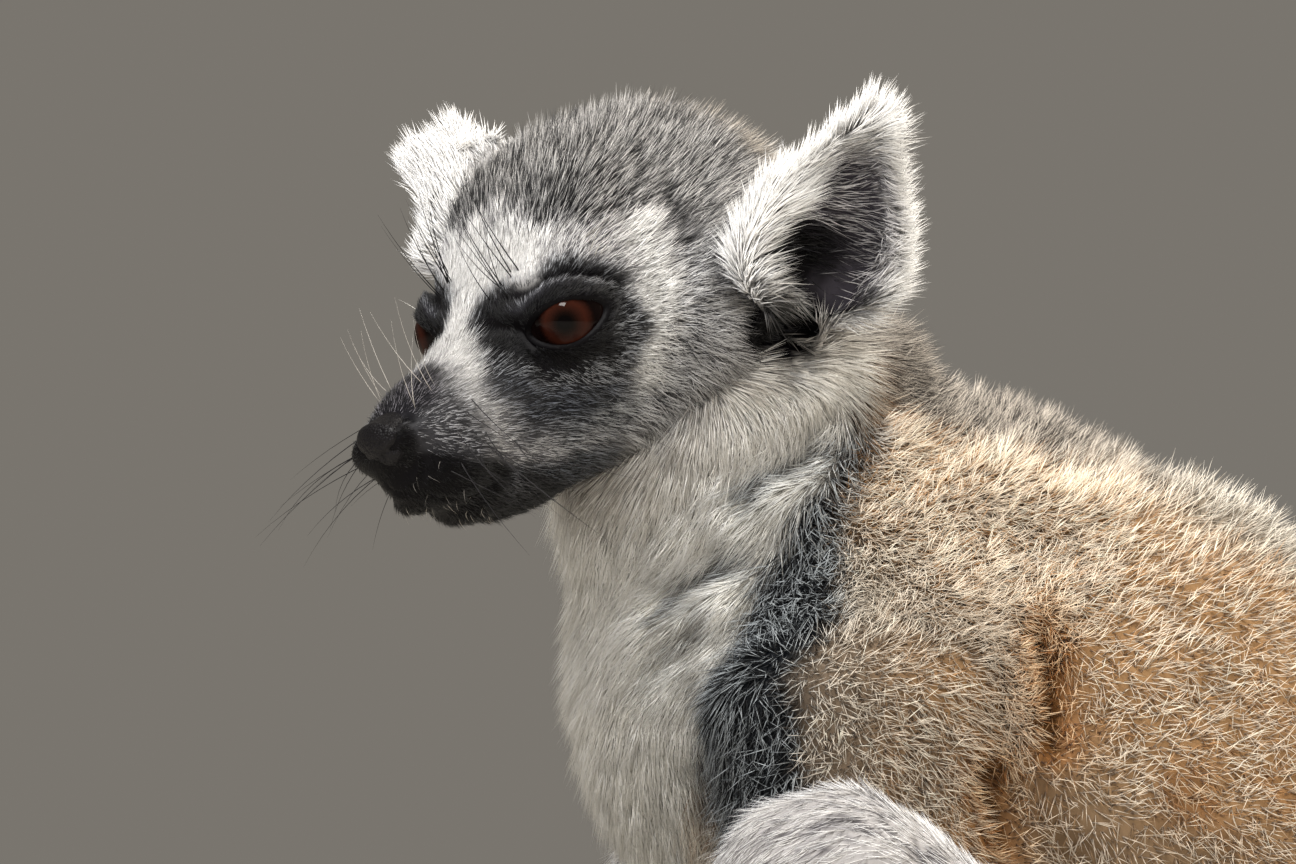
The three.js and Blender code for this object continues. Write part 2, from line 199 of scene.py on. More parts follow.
def swept(spec, t, angles, cap_rings, swell=None):
    """A closed surface as rings of points. A point is the section's centre, plus its cosine times the
    half-width to the side, plus its sine times the half-height up or down, all less the coat's depth. Over
    each end the section shrinks as a cosine while it moves out as a sine. swell moves points in or out."""
    caps = np.arange(1, cap_rings + 1) / (cap_rings + 0.25) * math.pi / 2
    t = np.concatenate([np.zeros(cap_rings), t, np.ones(cap_rings)])
    turn = np.concatenate([-caps[::-1], np.zeros(len(t) - 2 * cap_rings), caps])
    bulge = np.sin(turn) * np.where(turn < 0, *spec["caps"])
    shrink = np.cos(turn)[:, None, None]
    centre, size, forward, dorsal, lateral = sections(spec, t)
    wide, up, down = fleshed(spec, size)
    centre = centre + forward * (bulge * np.minimum(wide, (up + down) / 2))[:, None]
    high = np.where(np.sin(angles) > 0, up[:, None], down[:, None]) * np.sin(angles)
    across = wide[:, None] * np.cos(angles)
    spread = across[..., None] * lateral[:, None] + high[..., None] * dorsal[:, None]
    points = centre[:, None] + spread * shrink
    if swell is not None:
        points = points + unit(spread) * swell(points)[..., None] * shrink
    return points


def even_angles(sides):
    """sides angles, evenly round a circle."""
    return np.arange(sides) * 2 * math.pi / sides


def graded(count, peaks, width, gain, start=0.0, end=1.0, round_circle=False):
    """count values from start to end, packed closer about each peak: the density is 1 plus gain times a
    bell at each peak, and the values are evenly spaced in the running sum of that density."""
    fine = np.linspace(start, end, 2000)
    density = 1 + gain * sum(bell(fine - peak, width) for peak in peaks)
    running = np.concatenate([[0], np.cumsum((density[1:] + density[:-1]) / 2)])
    steps = np.linspace(0, running[-1], count + round_circle)[:count]
    return np.interp(steps, running, fine)


# ---- The body's plan: the same outline as the solids have ----
HEAD = shape(
    [(0, -34, -16), (0, -29, -14.8), (0, -18, -13), (0, -6, -6.5), (0, 6, -2), (0, 22, 0), (0, 40, 0),
     (0, 54, -3)],
    [
        (8, 7, 8, 0.5),  # muzzle's tip
        (11.2, 10, 14.8, 0.6),  # whisker pads
        (14.5, 13, 20, 0.8),  # bridge
        (19.3, 18.3, 27, 1.2),  # eyes
        (25, 27, 29.5, 2.3),  # brow
        (32, 32.5, 33, 3.9),  # temples and cheeks
        (33, 35, 29, 4.6),  # crown
        (25, 29, 20, 5),  # back of the head
    ],
    along=(0, 1, 0),
    caps=(0.5, 0.4),
)
FACE_BUMPS = [  # a soft bump's place, height and reach, the same on both sides
    ((17, 0, 13), 1.8, 8),  # brow ridge
    ((12, -14, -3), -2, 6),  # hollow in front of the eye
    ((9.5, -26.5, -19), 1.5, 6),  # whisker pad
    ((24, 6, -9), 1.2, 8),  # cheekbone
    ((26, 16, -16), -2, 12),  # the jaw's back lies deep in the ruff
    ((14.5, 9, 22.5), 4.2, 9.5),  # forehead's boss
    ((11, 21, 31), 3.2, 9),  # side of the crown
    ((16, 54, 19), 2.8, 9),  # back of the crown
]
BODY = shape(
    [(0, 0, 34), (0, 4, 64), (0, -1, 104), (0, -21, 140), (0, -63, 164), (0, -99, 186), (2, -117, 209),
     (5, -123, 228), (6, -126, 240)],
    [
        (43, 37, 37, 6),  # rump
        (50, 44, 43, 6),  # pelvis
        (52, 50, 52, 6),  # belly
        (50, 60, 56, 6),  # loin, the top of the hump
        (47, 60, 66, 5.5),  # ribs
        (42, 53, 61, 4.5),  # shoulders and breast
        (34, 46, 38, 4.5),  # base of the neck
        (30, 43, 34, 4.5),  # neck
        (26, 32, 24, 8),  # inside the head
    ],
    up=(0, 1, 1),
    caps=(1.06, 0.4),
)
TAIL_LEVEL = TAIL_RADIUS - FLOOR_CUT
TAIL_ON_FLOOR = [(-8, 94), (-46, 158), (-118, 172), (-180, 126), (-202, 40), (-186, -50), (-144, -122)]
TAIL_PATH = [(0, 30, 36), (-1, 56, 22), *((x, y, TAIL_LEVEL) for x, y in TAIL_ON_FLOOR)]
TAIL_SPANS = len(TAIL_PATH) - 1
TAIL_FLESH = 8.6  # the tail's own radius at its root, without the fur
TAIL_TAPER = 4.6  # how much thinner that is at the tip


def tail_sizes(t):
    """The tail's outline is narrow at its root and then even, and its flesh tapers evenly inside it."""
    outline = TAIL_RADIUS * min(1, 0.72 + 1.6 * t)
    return outline, outline, outline, outline - (TAIL_FLESH - TAIL_TAPER * t)


TAIL = shape(TAIL_PATH, [tail_sizes(k / TAIL_SPANS) for k in range(TAIL_SPANS + 1)], caps=(0, 1.3))
BARE_PAD = 0.15  # a paw's underside has this share of the coat's depth


def digit(start, end, radius):
    """A finger or toe: three stations, the knuckle raised by half of its radius."""
    knuckle = mix(start, end, 0.45) + (0, 0, radius * 0.5)
    sizes = [(radius, radius), (radius * 0.95, radius * 0.95), (radius * 0.8, radius * 0.8)]
    return limb([start, knuckle, end], sizes, (1.1, 1.1, 0.9), bare_below=BARE_PAD)


def spread_digits(root, heading, fan, length, radius, side):
    """Four digits that fan out from the end of a palm or sole, the outer two a little shorter."""
    made = []
    for place in (-1.5, -0.5, 0.5, 1.5):
        angle = math.radians(heading + place * fan) * side
        start = np.array((root[0] + place * radius * 1.75 * side, root[1], radius))
        reach = length * (1 - 0.09 * abs(place))
        ahead = (math.sin(angle) * reach, -math.cos(angle) * reach)
        end = (start[0] + ahead[0], start[1] + ahead[1], radius * 0.7 - FLOOR_CUT)
        made.append(digit(start, end, radius))
    return made


def hand(side):
    """The palm, the thumb and four fingers."""
    wrist = mirrored(WRIST, side)
    knuckles = np.array((wrist[0] - 3 * side, wrist[1] - 29, 6.5 - FLOOR_CUT))
    palm = limb([wrist, mix(wrist, knuckles, 0.5), knuckles], [(10, 9.5), (12, 8.5), (13, 6.5)],
                (2, 1.8, 1.4), caps=(1, 0.8), bare_below=BARE_PAD)
    root = np.array((knuckles[0] - 8 * side, knuckles[1] + 12, 6))
    thumb = digit(root, (root[0] - 17 * side, root[1] - 15, 3.2), 4.3)
    return [palm, thumb, *spread_digits(knuckles, -6, 11, FINGER_LENGTH, 4.2, side)]


def foot(side):
    """The sole, the ankle, the great toe and four toes."""
    ankle = mirrored(ANKLE, side)
    heel = np.array((ankle[0], ankle[1] + 6, 10 - FLOOR_CUT))
    sole = np.array((ankle[0] + 5 * side, ankle[1] - 50, 8 - FLOOR_CUT))
    tread = limb([heel, mix(heel, sole, 0.5), sole], [(10, 10.5), (12, 10), (14.5, 8)], (2, 1.8, 1.4),
                 caps=(0.8, 0.8), bare_below=BARE_PAD)
    joint = limb([(heel[0], ankle[1], 12), ankle], [(11.5, 11.5), (11, 11)], (2.4, 2.6), up=(0, 1, 0))
    root = np.array((sole[0] - 8 * side, sole[1] + 16, 7))
    great = digit(root, (root[0] - 22 * side, root[1] - 20, 4.4), 6)
    return [tread, joint, great, *spread_digits(sole, 8, 9, TOE_LENGTH, 4.8, side)]


def limbs(side):
    """The four long parts of that side's arm and leg, by name."""
    shoulder, elbow, wrist = (mirrored(p, side) for p in (SHOULDER, ELBOW, WRIST))
    hip, knee, ankle = (mirrored(p, side) for p in (HIP, KNEE if side > 0 else RIGHT_KNEE, ANKLE))
    return {
        "upper_arm": limb([shoulder, mix(shoulder, elbow, 0.5), elbow], [(21, 33), (18, 27), (14, 16)],
                          (6.5, 6, 5), up=(0, 1, 0)),
        "forearm": limb([elbow, mix(elbow, wrist, 0.4), wrist], [(14, 16), (13.5, 14.5), (10, 9.5)],
                        (6, 4.5, 2.4), up=(0, 0.6, 1)),
        "thigh": limb([hip, mix(hip, knee, 0.5), knee], [(33, 36), (27, 33), (22, 24)], (6, 4, 1.5),
                      up=(0, 0.4, 1)),
        "shank": limb([knee, mix(knee, ankle, 0.35), ankle], [(21, 22), (15.5, 20), (11, 11)],
                      (1.5, 3, 2.5), up=(0, 1, 0)),
    }


# ---- Ears: a cupped leaf; height runs root to tip, turn from the rear rim, -1, to the front rim, 1 ----
EAR_ROOT = {1: (30, 40.5, -5.5), -1: (32, 39.5, -6.8)}
EAR_TIP = {1: (0.7, 0.08, 0.71), -1: (0.38, -0.22, 0.9)}  # the way each points; the right is pricked higher
EAR_OPENS = {1: (0.95, -0.27, -0.1), -1: (1, 0.3, -0.1)}  # the way its hollow faces
EAR_HALF_WIDTH = {1: (6, 13.8, 12, 7.2, 1.3), -1: (4, 8.5, 12, 11, 5.5)}  # at even steps from root to tip
EAR_CURL = (115, 84, 68, 52, 45)  # half the angle that the cup wraps
EAR_WALL = 2.0
CUP_MIDDLE = 0.55  # how far the cup's middle stands forward of its root, as a share of its radius


def ear_axes(side):
    """The way the ear points, the way it opens, and the way across it to its front rim."""
    tip = unit(mirrored(EAR_TIP[side], side))
    opens = mirrored(EAR_OPENS[side], side)
    opens = unit(square_to(opens, tip))
    return tip, opens, np.cross(opens, tip) * side


def ear_points(height, turn, wall, side):
    """Points of the cup: an arc about a centre line, its radius from the half-width and curl at that
    height, and the wall's thickness outside it, thinner towards the tip."""
    tip, opens, across = ear_axes(side)
    width, curl = np.moveaxis(catmull(np.column_stack([EAR_HALF_WIDTH[side], EAR_CURL]), height), -1, 0)
    curl = np.radians(curl)
    radius = width / np.sin(np.minimum(curl, math.pi / 2))
    outer = (radius + wall * np.sqrt(np.maximum(0.12, 1 - height**4)))[..., None]
    angle = (turn * curl)[..., None]
    centre = mirrored(EAR_ROOT[side], side) + tip * (EAR_LENGTH * height)[..., None]
    forward = opens * (radius[..., None] * CUP_MIDDLE - outer * np.cos(angle))
    return centre + across * outer * np.sin(angle) + forward


# ---- Meshes from arrays ----
def closed_faces(rings, sides):
    """Faces of a closed surface of rings: quads between neighbours, and a fan to the hub at each end, which
    are the two points after the last ring."""
    ring, side = np.meshgrid(np.arange(rings - 1), np.arange(sides), indexing="ij")
    after = (side + 1) % sides
    quads = np.stack([ring * sides + side, (ring + 1) * sides + side, (ring + 1) * sides + after,
                      ring * sides + after], -1).reshape(-1, 4)
    first = np.arange(sides)
    second = (first + 1) % sides
    last = (rings - 1) * sides
    hub = np.full(sides, rings * sides)
    return quads, np.stack([hub, first, second], -1), np.stack([hub + 1, last + second, last + first], -1)


def ringed_mesh(points):
    """The vertices and faces of a closed surface of rings."""
    rings, sides = points.shape[:2]
    vertices = np.vstack([points.reshape(-1, 3), points[0].mean(0), points[-1].mean(0)])
    quads, start, end = closed_faces(rings, sides)
    return vertices, [*quads.tolist(), *start.tolist(), *end.tolist()]


def new_object(name, vertices, faces, smooth_faces=True):
    """A mesh object from points in millimetres."""
    mesh = bpy.data.meshes.new(name)
    mesh.from_pydata(vertices * MM, [], faces)
    if smooth_faces:
        mesh.shade_smooth()
    made = bpy.data.objects.new(name, mesh)
    bpy.context.scene.collection.objects.link(made)
    return made


def joined_object(name, meshes):
    """One object from several (vertices, faces) pairs."""
    vertices, faces, offset = [], [], 0
    for points, some in meshes:
        vertices.append(points)
        faces.extend([[k + offset for k in face] for face in some])
        offset += len(points)
    return new_object(name, np.vstack(vertices), faces)


def applied(made):
    """Replaces an object's mesh by what its modifiers make of it."""
    graph = bpy.context.evaluated_depsgraph_get()
    mesh = bpy.data.meshes.new_from_object(made.evaluated_get(graph))
    made.modifiers.clear()
    made.data = mesh
    return made


def fused(name, meshes, voxel, rounds):
    """Overlapping closed shells made one: remeshed on a grid of voxels, then smoothed."""
    made = joined_object(name, meshes)
    remesh = made.modifiers.new("remesh", "REMESH")
    remesh.mode = "VOXEL"
    remesh.voxel_size = voxel * MM
    soften = made.modifiers.new("soften", "SMOOTH")
    soften.factor = 0.5
    soften.iterations = rounds
    return applied(made)


def read_vertices(made, what):
    """One of the vertices' vectors, as rows."""
    flat = np.empty(len(made.data.vertices) * 3, np.float32)
    made.data.vertices.foreach_get(what, flat)
    return flat.reshape(-1, 3).astype(float)


def points_of(made):
    """An object's vertices, in millimetres."""
    return read_vertices(made, "co") / MM


def normals_of(made):
    """An object's vertex normals."""
    return unit(read_vertices(made, "normal"))


def move_points(made, points):
    """Puts an object's vertices at these places, in millimetres."""
    made.data.vertices.foreach_set("co", (points * MM).ravel())
    made.data.update()


def colour_points(made, colours):
    """Gives each vertex its linear colour, in the attribute that the fur and the skin read."""
    rows = np.column_stack([colours, np.ones(len(colours))])
    attribute = made.data.attributes.new("coat", "FLOAT_COLOR", "POINT")
    attribute.data.foreach_set("color", rows.astype(np.float32).ravel())


def simple_shell(spec, rings=24, sides=28, cap_rings=6):
    """A swept shape as vertices and faces."""
    return ringed_mesh(swept(spec, np.linspace(0, 1, rings), even_angles(sides), cap_rings))


# ---- The head's skin ----
def face_swell(p):
    """The sum of the face's soft bumps, each a bell of the distance from its place."""
    total = np.zeros(p.shape[:-1])
    for at, height, reach in FACE_BUMPS:
        for side in (1, -1):
            total += height * bell(np.linalg.norm(p - mirrored(at, side), axis=-1), reach)
    return total


def gaze_axes(side):
    """An eye's own axes: the way it looks, the way out to its side, and up."""
    out = math.radians(GAZE_OUT)
    look = mirrored((math.sin(out), -math.cos(out), 0), side)
    outward = mirrored((math.cos(out), math.sin(out), 0), side)
    return look, outward, np.array((0.0, 0.0, 1.0))


LID_WIDE_OUT = 57  # degrees from the gaze to the outer corner of the lids
LID_WIDE_IN = 60  # to the inner corner
LID_HIGH = 24  # to the middle of the upper rim
LID_LOW = 27  # to the middle of the lower one
LID_SLANT = 8  # how far the outer corner is turned up
LID_POWER = 1.75  # 2 would make the opening an oval, 1 a lozenge
LID_THICK = 1.0
LID_SINK = 1.4  # how far under the ball's surface the skin is, inside the rim
LID_COVER = 0.9  # the least depth of skin over the ball, beyond the lids
RIDGE_AT = 27  # degrees from the rim up to the upper lid's ridge
RIDGE_HEIGHT = 0.8
CREASE_AT = 40  # degrees from the rim up to the crease over it
CREASE_DEPTH = 1.4
LID_EDGE = (2.2, 0.6)  # degrees from the rim: points begin to be drawn onto it, and are wholly drawn


def lid_measure(d, side):
    """For a direction from the eyeball's centre: how many degrees past the lids' rim it lies, and the sine
    of its turn round the gaze, which is 1 straight above. The opening is between an oval and a lozenge."""
    look, out, up = gaze_axes(side)
    slant = math.radians(LID_SLANT)
    across, above = d @ out, d @ up
    turned = np.stack([across * math.cos(slant) + above * math.sin(slant),
                       above * math.cos(slant) - across * math.sin(slant)])
    c, s = turned / np.maximum(np.hypot(*turned), 1e-9)
    wide = np.where(c > 0, LID_WIDE_OUT, LID_WIDE_IN)
    high = np.where(s > 0, LID_HIGH, LID_LOW)
    rim = (np.abs(c / wide) ** LID_POWER + np.abs(s / high) ** LID_POWER) ** (-1 / LID_POWER)
    return np.degrees(np.arccos(np.clip(d @ look, -1, 1))) - rim, s


def with_lids(points, side):
    """Lays the skin over one eyeball. Each point keeps its direction from the ball's centre, but for those
    beside the rim, which move onto it. Inside the rim the skin sinks behind the ball, at the rim it is the
    lid's thick edge, then the lid with its ridge and crease, and further out it is whichever is the higher
    of the head's own surface and a thin layer over the ball."""
    centre = mirrored(EYE_AT, side)
    look = gaze_axes(side)[0]
    offset = points - centre
    far = np.linalg.norm(offset, axis=-1)
    d = unit(offset)
    past, s = lid_measure(d, side)
    drawn = past * 0.9 * smooth(*LID_EDGE, np.abs(past))
    tilt = np.arccos(np.clip(d @ look, -1, 1))
    tilt = tilt - np.radians(drawn)
    radial = unit(square_to(d, look))
    d = look * np.cos(tilt)[..., None] + radial * np.sin(tilt)[..., None]
    past = past - drawn
    upper = smooth(0.0, 0.45, s)
    ridge = RIDGE_HEIGHT * upper * bell(past - RIDGE_AT, 7)
    crease = CREASE_DEPTH * upper * bell(past - CREASE_AT, 5)
    lid = EYE_RADIUS + LID_THICK + ridge - crease
    lid = (EYE_RADIUS - LID_SINK) + (lid - EYE_RADIUS + LID_SINK) * smooth(-3, 2, past)
    cover = EYE_RADIUS + LID_COVER
    outside = (far + cover + np.sqrt((far - cover) ** 2 + 2.0)) / 2 - crease
    blend = smooth(10, 40, past)
    new = lid * (1 - blend) + outside * blend
    here = smooth(125, 100, np.degrees(tilt)) * smooth(22, 17, far)
    return centre + d * (far + (new - far) * here)[..., None]


def near_line(p, line):
    """The distance from each point to a line of straight pieces."""
    best = np.full(p.shape[:-1], 1e9)
    for a, b in zip(np.array(line[:-1], float), np.array(line[1:], float)):
        share = np.clip((p - a) @ (b - a) / ((b - a) @ (b - a)), 0, 1)[..., None]
        best = np.minimum(best, np.linalg.norm(p - a - share * (b - a), axis=-1))
    return best


def line_bell(p, line, width):
    """A bell of the distance from each point to a line of straight pieces."""
    return bell(near_line(p, line), width)


MOUTH = [(0, -36, -22.8), (4, -34.5, -23.6), (8, -28.5, -25.8), (10.5, -22, -27.4), (12, -14, -28),
         (13.5, -7, -26)]
PHILTRUM = [(0, -38, -17.5), (0, -36.3, -22.5)]
SLIT = [(5, -33, -9.6), (6.4, -31, -11.5), (6.9, -30.8, -14.5), (6.4, -31.8, -17.4)]  # under a nostril's wing
FACE_CREASES = ((MOUTH, 0.9, 0.75), (PHILTRUM, 0.5, 0.6), (SLIT, 1.3, 0.8))  # line, depth and width


def face_creases(points):
    """How far in the skin goes at the mouth's line and under the nose: a bell of the distance from each."""
    folded = on_left(points)
    return sum(depth * line_bell(folded, line, width) for line, depth, width in FACE_CREASES)


def relaxed(points, share, rounds):
    """Moves each point of a ringed surface part of the way to the mean of its four neighbours."""
    for _ in range(rounds):
        mean = (np.roll(points, 1, 1) + np.roll(points, -1, 1)) / 2
        mean[1:-1] = mean[1:-1] / 2 + (points[2:] + points[:-2]) / 4
        points = points + (mean - points) * share[..., None]
    return points


EYES_ALONG = 3.45 / 7  # where the eyes are along the head's path
EYES_ROUND = (math.radians(14), math.radians(166))  # and round it


def head_mesh():
    """The head's skin: its sweep on a grid that is finest about the eyes, with lids, mouth and creases."""
    t = graded(150, [EYES_ALONG], width=0.13, gain=2.2)
    angles = graded(224, EYES_ROUND, width=0.5, gain=2.6, start=-math.pi / 2, end=1.5 * math.pi,
                    round_circle=True)
    points = swept(HEAD, t, angles, 14, face_swell)
    for side in (1, -1):
        points = with_lids(points, side)
    away = np.zeros(points.shape[:2])
    for side in (1, -1):
        offset = points - mirrored(EYE_AT, side)
        past = lid_measure(unit(offset), side)[0]
        around = smooth(4, 12, past) * smooth(20, 14, np.linalg.norm(offset, axis=-1))
        away = np.maximum(away, around * 0.4)
    points = relaxed(points, away, 6)
    middle = points.mean(1, keepdims=True)
    points = points - unit(points - middle) * face_creases(points)[..., None]
    vertices, faces = ringed_mesh(points)
    return from_head(vertices), faces


def ear_mesh(side):
    """One ear as a closed leaf: each ring runs over the hollow face and back over the outer one."""
    height, turn = np.meshgrid(np.linspace(-0.2, 1, 40), np.linspace(-1, 1, 22), indexing="ij")
    inner = ear_points(height, turn, 0.0, side)
    outer = ear_points(height, turn, EAR_WALL, side)
    rings = np.concatenate([inner, outer[:, ::-1]], 1)
    if side < 0:
        rings = rings[:, ::-1]
    vertices, faces = ringed_mesh(rings)
    return from_head(vertices), faces


# ---- The whole skin ----
def whole_skin():
    """Body, tail and limbs fused on voxels, hands and feet on finer ones, then the head and ears added."""
    rough = [simple_shell(BODY, rings=60, sides=64, cap_rings=12), simple_shell(TAIL, rings=120, sides=20)]
    fine = []
    for side in (1, -1):
        rough += [simple_shell(spec) for spec in limbs(side).values()]
        fine += [simple_shell(spec, rings=12, sides=16, cap_rings=5) for spec in [*hand(side), *foot(side)]]
    skin = fused("skin", rough, BODY_VOXEL, rounds=14)
    others = [fused("paws", fine, PAW_VOXEL, rounds=3), new_object("head", *head_mesh())]
    others += [new_object("ear", *ear_mesh(side)) for side in (1, -1)]
    for other in others:
        union = skin.modifiers.new("union", "BOOLEAN")
        union.operation = "UNION"
        union.solver = "MANIFOLD"
        union.object = other
    applied(skin)
    for other in others:
        bpy.data.objects.remove(other)
    vertices = points_of(skin)
    vertices[:, 2] = np.maximum(vertices[:, 2], SKIN_GAP)
    move_points(skin, vertices)
    skin.data.shade_smooth()
    return skin


CHEST_LINE = [(60, -85), (100, -105), (120, -120), (149, -129.5), (183, -124), (209, -111), (220, -102),
              (230, -97), (242, -92)]


def behind_chest(p):
    """How far a point is behind the line, (height, y), where the white chest and throat end."""
    return p[:, 1] - np.interp(p[:, 2], *np.array(CHEST_LINE, float).T)


FLANK_CREASES = [[(-68, 184), (-65.5, 165)], [(-80, 160), (-76, 146)]]  # y and height
NECK_CREASES = [
    [(-104.4, 219.1), (-113.3, 214.6), (-120, 210.2)],
    [(-119.6, 199.1), (-127.3, 194.7), (-133.8, 190.3)],
    [(-127.5, 188.2), (-132.2, 181.5), (-136.7, 177.1)],
]
FLANK_CREASE_DEPTH = 4.5
NECK_CREASE_DEPTH = 3.0
NECK_CREASE_SHADE = (1.0, 0.9, 0.6)  # how strongly each is painted dark, as painted shade in the crease
NECK_MIDDLE = 4  # the neck leans to the left by this much


def with_folds(p, normal):
    """Loose skin: soft lumps on the trunk and arms and slanting folds on the neck's sides, as smooth noise
    along the normal, then two clefts in each flank and three creases on each side of the neck. The head,
    paws and tail stay as they are."""
    q = to_head(p)
    trunk = smooth(30, 45, p[:, 2]) * smooth(38, 52, np.linalg.norm(q - (0, 10, 0), axis=1))
    neck = trunk * smooth(150, 175, p[:, 2]) * smooth(-95, -112, p[:, 1])
    sides = smooth(12, 26, np.abs(p[:, 0] - NECK_MIDDLE))
    slanting = p @ np.array(((1, 0, 0), (0, 0.78, -0.62), (0, 0.62, 0.78))).T * (1, 1, 0.42)
    lumps = (noise(p, 20, 31) * 0.9 + noise(p, 9, 32) * 0.35) * smooth(-4, 12, behind_chest(p))
    for line in FLANK_CREASES:
        cleft = FLANK_CREASE_DEPTH * line_bell(p[:, 1:], line, 2.1)
        lumps = lumps - cleft * smooth(26, 34, np.abs(p[:, 0]))
    folds = noise(slanting, 8, 33) * 1.5 * sides * smooth(176, 196, p[:, 2])
    for line in NECK_CREASES:
        folds = folds - NECK_CREASE_DEPTH * line_bell(p[:, 1:], line, 2.0) * sides
    return p + normal * (lumps * trunk * (1 - neck) + folds * neck)[:, None]


skin = whole_skin()
move_points(skin, with_folds(points_of(skin), normals_of(skin)))
skin.data.calc_loop_triangles()
SKIN = points_of(skin)
SKIN_NORMAL = normals_of(skin)
flat = np.empty(len(skin.data.loop_triangles) * 3, np.int32)
skin.data.loop_triangles.foreach_get("vertices", flat)
SKIN_FACES = flat.reshape(-1, 3)


# ---- Where each point of the skin is on the body ----
def measured(spec, p, samples):
    """For points and a swept shape: the distance outside its surface, how far along and round it they are,
    and the path's direction there, all from the best of a row of sections along it."""
    t = np.linspace(0, 1, samples)
    centre, size, forward, dorsal, lateral = sections(spec, t)
    steps = np.concatenate([[0], np.cumsum(np.linalg.norm(np.diff(centre, axis=0), axis=1))])
    wide, up, down = fleshed(spec, size)
    best = np.full(len(p), 1e9)
    along, round_it, heading = np.zeros(len(p)), np.zeros(len(p)), np.zeros((len(p), 3))
    for k in range(samples):
        offset = p - centre[k]
        ahead, high, out = offset @ forward[k], offset @ dorsal[k], offset @ lateral[k]
        half = np.where(high > 0, up[k], down[k])
        reach = np.sqrt((out / wide[k]) ** 2 + (high / half) ** 2 + (ahead / min(wide[k], half.min())) ** 2)
        far = (reach - 1) * (wide[k] + up[k] + down[k]) / 3
        nearer = far < best
        best = np.where(nearer, far, best)
        along = np.where(nearer, (steps[k] + ahead) / steps[-1], along)
        round_it = np.where(nearer, np.arctan2(high / half, out / wide[k]), round_it)
        heading = np.where(nearer[:, None], forward[k], heading)
    return {"far": best, "along": along, "round": round_it, "heading": heading}


EAR_CLAIM = 1.6  # a point this near to the ear's net lies on the ear


def ear_measured(p, normal, side):
    """The same for an ear: height and turn of the nearest of a net of its points, and whether that is in
    the hollow, where the normal faces the cup's middle line. The coat runs to the tip and, near a rim, out
    over it; in the hollow it runs front to rear, and more to the tip the higher it is."""
    net_grid = np.meshgrid(np.linspace(0.05, 1, 22), np.linspace(-1, 1, 17), indexing="ij")
    height, turn = (a.ravel() for a in net_grid)
    net = np.vstack([ear_points(height, turn, wall, side) for wall in (0.0, EAR_WALL)])
    q = to_head(p)
    best = np.full(len(p), 1e9)
    nearest = np.zeros(len(p), int)
    close = np.nonzero(np.linalg.norm(q - mirrored(EAR_ROOT[side], side), axis=1) < EAR_LENGTH + 20)[0]
    gap = np.linalg.norm(q[close][:, None] - net[None], axis=2)
    best[close] = gap.min(1) - EAR_CLAIM
    nearest[close] = gap.argmin(1)
    pick = nearest % len(height)
    tip, opens, across = ear_axes(side)
    curl = catmull(np.column_stack([EAR_CURL, EAR_CURL]), height[pick])[:, 0]
    angle = np.radians(curl * turn[pick])[:, None]
    inside = dot(normal @ HEAD_TURNS, across * np.sin(angle) - opens * np.cos(angle))[:, 0] < 0
    high = height[pick][:, None]
    rim = np.sign(turn[pick]) * smooth(0.45, 1.0, np.abs(turn[pick]))
    over_rim = rim * np.where(rim > 0, 0.1, 0.9 - 0.7 * smooth(0.45, 0.85, height[pick]))
    outer_way = tip + across * over_rim[:, None]
    rear = smooth(-0.6, -0.9, turn[pick])[:, None]
    hollow_way = tip * (1.4 * high - 0.25) - across * (1.05 - 0.8 * high)
    hollow_way = mix(hollow_way, tip * 0.5 - across * 0.9, rear)
    heading = np.where(inside[:, None], hollow_way, outer_way) @ HEAD_TURNS.T
    return {"far": best, "along": height[pick], "round": turn[pick], "heading": heading, "inside": inside}


def head_heading(q):
    """The way the head's coat lies, in its own axes: away from the nose, down and back on the cheeks, down
    the back of the head, and away from an eye close to it."""
    way = unit(q - (0, -46, -9))
    cheek = smooth(0, -12, q[:, 2]) * smooth(4, 16, q[:, 1])
    even = np.ones(len(q))
    way = way + cheek[:, None] * np.column_stack([0.2 * np.sign(q[:, 0]), 0.2 * even, -0.5 * even])
    way = way + smooth(36, 56, q[:, 1])[:, None] * (0, 0, -1.6)
    for side in (1, -1):
        offset = q - mirrored(EYE_AT, side)
        way = way + unit(offset) * (1.1 * bell(np.linalg.norm(offset, axis=1) - 9, 6))[:, None]
    return unit(way)


def kind(name):
    """The kind of part that a name stands for, without its side and number."""
    return name.split("_left")[0].split("_right")[0]


PARTS = {"head": HEAD, "body": BODY, "tail": TAIL}
for mark, side in SIDES:
    PARTS.update({f"{name}_{mark}": spec for name, spec in limbs(side).items()})
    PARTS.update({f"hand_{mark}_{k}": spec for k, spec in enumerate(hand(side))})
    PARTS.update({f"foot_{mark}_{k}": spec for k, spec in enumerate(foot(side))})
SAMPLES = {"body": 50, "tail": 110, "head": 40, "hand": 9, "foot": 9}  # sections looked at along each kind
LIMB_SAMPLES = 20
HEAD_POINTS = to_head(SKIN)
places = {}
for name, spec in PARTS.items():
    points = HEAD_POINTS if name == "head" else SKIN
    places[name] = measured(spec, points, SAMPLES.get(kind(name), LIMB_SAMPLES))
for mark, side in SIDES:
    places[f"ear_{mark}"] = ear_measured(SKIN, SKIN_NORMAL, side)
places["head"]["heading"] = head_heading(HEAD_POINTS) @ HEAD_TURNS.T
places["body"]["heading"] = -places["body"]["heading"]
NAMES = list(places)
FAR = np.stack([places[name]["far"] for name in NAMES], 1)
OWNER = FAR.argmin(1)
KINDS = np.array([kind(name) for name in NAMES])
BLEND_WIDTH = 4.0  # over about this, one part's coat turns into the next one's
BLEND = np.exp(-(FAR - FAR.min(1, keepdims=True)) / BLEND_WIDTH)
BLEND /= BLEND.sum(1, keepdims=True)


def part_share(*kinds):
    """How much each point of the skin belongs to these kinds of part, from 0 to 1."""
    return BLEND[:, np.isin(KINDS, kinds)].sum(1)


